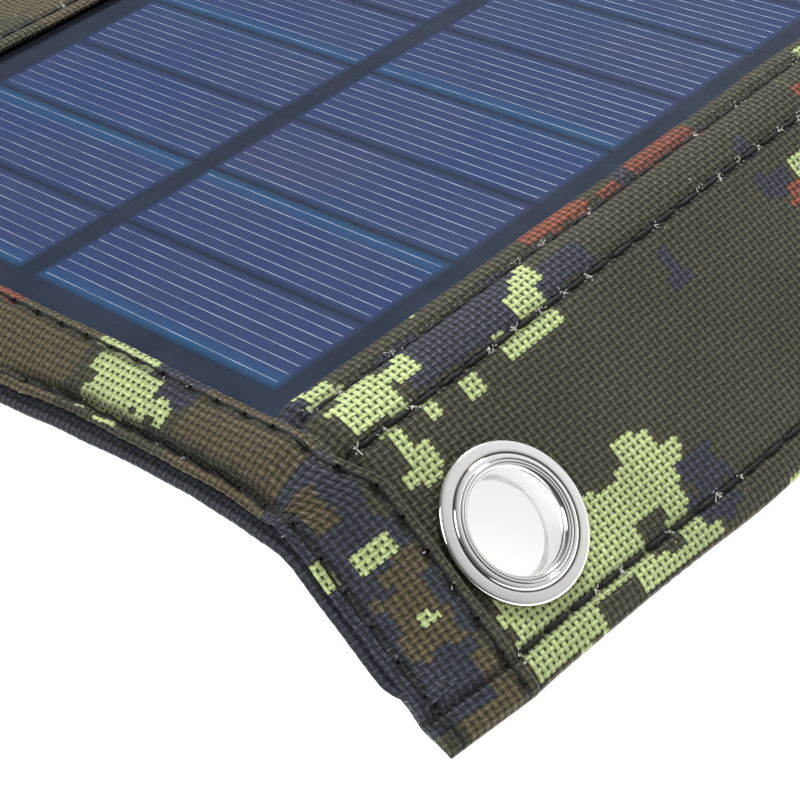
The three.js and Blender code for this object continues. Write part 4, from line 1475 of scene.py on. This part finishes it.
def bristles(name, node, body, way_x, rng):
    """Hook or loop tape: many short bent bristles on the node's face towards way_x."""
    low, high = box_mm(node)
    strands = Strands()
    face = (low[0] + high[0]) / 2 + way_x * ((high[0] - low[0]) / 2 - 0.25)
    for y in np.arange(low[1] + 0.4, high[1] - 0.3, 0.75):
        for z in np.arange(low[2] + 0.3, high[2] - 0.2, 0.55):
            spot = np.array([face, y + rng.normal(0, 0.1), z + rng.normal(0, 0.08)])
            y_way, z_way = rng.normal(0, 0.25, 2)
            middle, tip = (0.3 * way_x, y_way * 0.4, z_way * 0.4), (0.42 * way_x, y_way, z_way)
            strands.add_tube([spot, spot + middle, spot + tip], 0.09, 4)
    ride(strands.piece(name, VELCRO), body)


def build_controller():
    """The moulded case and the two steel USB sockets."""
    for half in ("bottom", "top"):
        bevelled_copy(f"controller_shell_{half}", f"controller_case_{half}", CASE, 0.35)
    for index in (1, 2):
        bevelled_copy(f"usb_shell_{index}", f"usb_socket_{index}", STEEL, 0.08)


def paint_cad_nodes():
    """Materials for the CAD nodes that stay."""
    finishes = {
        "stiffener_board": BOARD, "backsheet": BACKSHEET, "flat_lead": LEAD, "rear_flap_lead": LEAD,
        "strip": VELCRO, "circuit_board": CIRCUIT,
    }
    for name, node in frame["nodes"].items():
        if node.hide_render:
            continue
        material = next((m for ending, m in finishes.items() if name.endswith(ending)), None)
        if material is None:
            continue
        if not node.material_slots:
            node.data.materials.append(material)
        for slot in node.material_slots:
            slot.link = "OBJECT"
            slot.material = material


# ---- camera, light and floor -----------------------------------------------------------------------

# The photograph's view: a close, low look at the near front corner. Given on leaf 1 as (x, y, h).
CAMERA_AT = (167.65, -185.3, 121.5)
CAMERA_FORWARD = (-0.589, 0.549, -0.593)
CAMERA_UP = (-0.3368, 0.5002, 0.7977)
CAMERA_LENS = 90.4


def turn_with_leaf_1(vector):
    """A direction given on leaf 1, turned into the frame."""
    x, y, z = vector
    c, s = math.cos(LEAF_1_TILT), math.sin(LEAF_1_TILT)
    return Vector((x * c - z * s, y, x * s + z * c))


def build_camera():
    """The camera of the photograph's view."""
    data = bpy.data.cameras.new("photo_camera")
    data.lens, data.sensor_width = CAMERA_LENS, 36
    data.clip_start, data.clip_end = 0.005, 20
    camera = add_object("photo_camera", data)
    x, y, h = CAMERA_AT
    spot = on_strip(np.array(FRONT + x), np.array(y), np.array(h)) * MM
    back = -turn_with_leaf_1(CAMERA_FORWARD).normalized()
    up = turn_with_leaf_1(CAMERA_UP)
    right = up.cross(back).normalized()
    up = back.cross(right)
    turn = Matrix((right, up, back)).transposed().to_4x4()
    camera.matrix_world = Matrix.Translation(Vector(spot)) @ turn
    bpy.context.scene.camera = camera


def add_area(name, spot, target, size, power):
    """A round area light at spot that faces target."""
    data = bpy.data.lights.new(name, "AREA")
    data.shape, data.size, data.energy = "DISK", size, power
    light = add_object(name, data)
    light.location = spot
    light.rotation_mode = "QUATERNION"
    light.rotation_quaternion = (Vector(target) - Vector(spot)).to_track_quat("-Z", "Y")


def build_world():
    """A white surrounding that is brighter behind the panel and overhead."""
    world = bpy.data.worlds.new("studio")
    world.use_nodes = True
    tree = world.node_tree
    backdrop = tree.nodes["Background"]
    backdrop.inputs["Color"].default_value = (1.0, 1.0, 1.0, 1)
    direction = tree.nodes.new("ShaderNodeTexCoord")
    split = tree.nodes.new("ShaderNodeSeparateXYZ")
    tree.links.new(direction.outputs["Generated"], split.inputs[0])
    x, y, z = (Wire(tree, split.outputs[k]) for k in range(3))
    level = (x * 0.05 + y * 0.70 + z * 0.25 + 0.20).math("MAXIMUM", 0.14)
    tree.links.new(level.socket, backdrop.inputs["Strength"])
    bpy.context.scene.world = world


def build_floor():
    """A pale floor under the panel."""
    half = 3.0 / MM
    vertices = np.array([(x * half, y * half, -0.05) for x, y in ((-1, -1), (1, -1), (1, 1), (-1, 1))])
    material, tree, shader = new_material("pale_floor")
    grain = object_noise(tree, 30.0, 3.0)
    tone = mix_colour(tree, grain, (0.93, 0.93, 0.93, 1), (0.96, 0.96, 0.96, 1))
    dress(tree, shader, tone, 0.9)
    shader.inputs["Emission Color"].default_value = (1, 1, 1, 1)
    shader.inputs["Emission Strength"].default_value = 0.80
    new_piece("floor", vertices, np.array([[0, 1, 2, 3]]), material)


def build_studio():
    """Surroundings, lights and floor for the render; none of it belongs to the part."""
    build_world()
    add_area("key", (-0.25, 0.85, 1.25), (0.15, 0, 0), 0.5, 28.0)
    add_area("fill", (-0.2, -1.0, 0.9), (0.1, 0, 0), 0.9, 12.0)
    build_floor()
    bpy.context.scene.view_settings.view_transform = "Standard"


# ---- build -----------------------------------------------------------------------------------------


def build():
    """Everything, in the order that the random draws need."""
    rng = np.random.default_rng(2024)
    build_camera()
    build_studio()
    for leaf in (1, 2, 3, 4):
        build_backing(leaf)
        build_cells(leaf)
        build_film(leaf)
    build_front_cover(rng)
    for front_leaf, fold in FOLDS.items():
        build_fold_strip(rng, front_leaf, front_leaf + 1, fold)
    build_rear_cover(rng)
    build_bands(rng)
    build_back()
    build_eyelets()
    build_pouch_wall()
    build_pouch_lid(rng)
    build_controller()
    bristles("lid_hooks", "lid_hook_strip", "pouch_lid", 1, rng)
    bristles("wall_loops", "pouch_loop_strip", "rear_flap", -1, rng)
    paint_cad_nodes()


build()
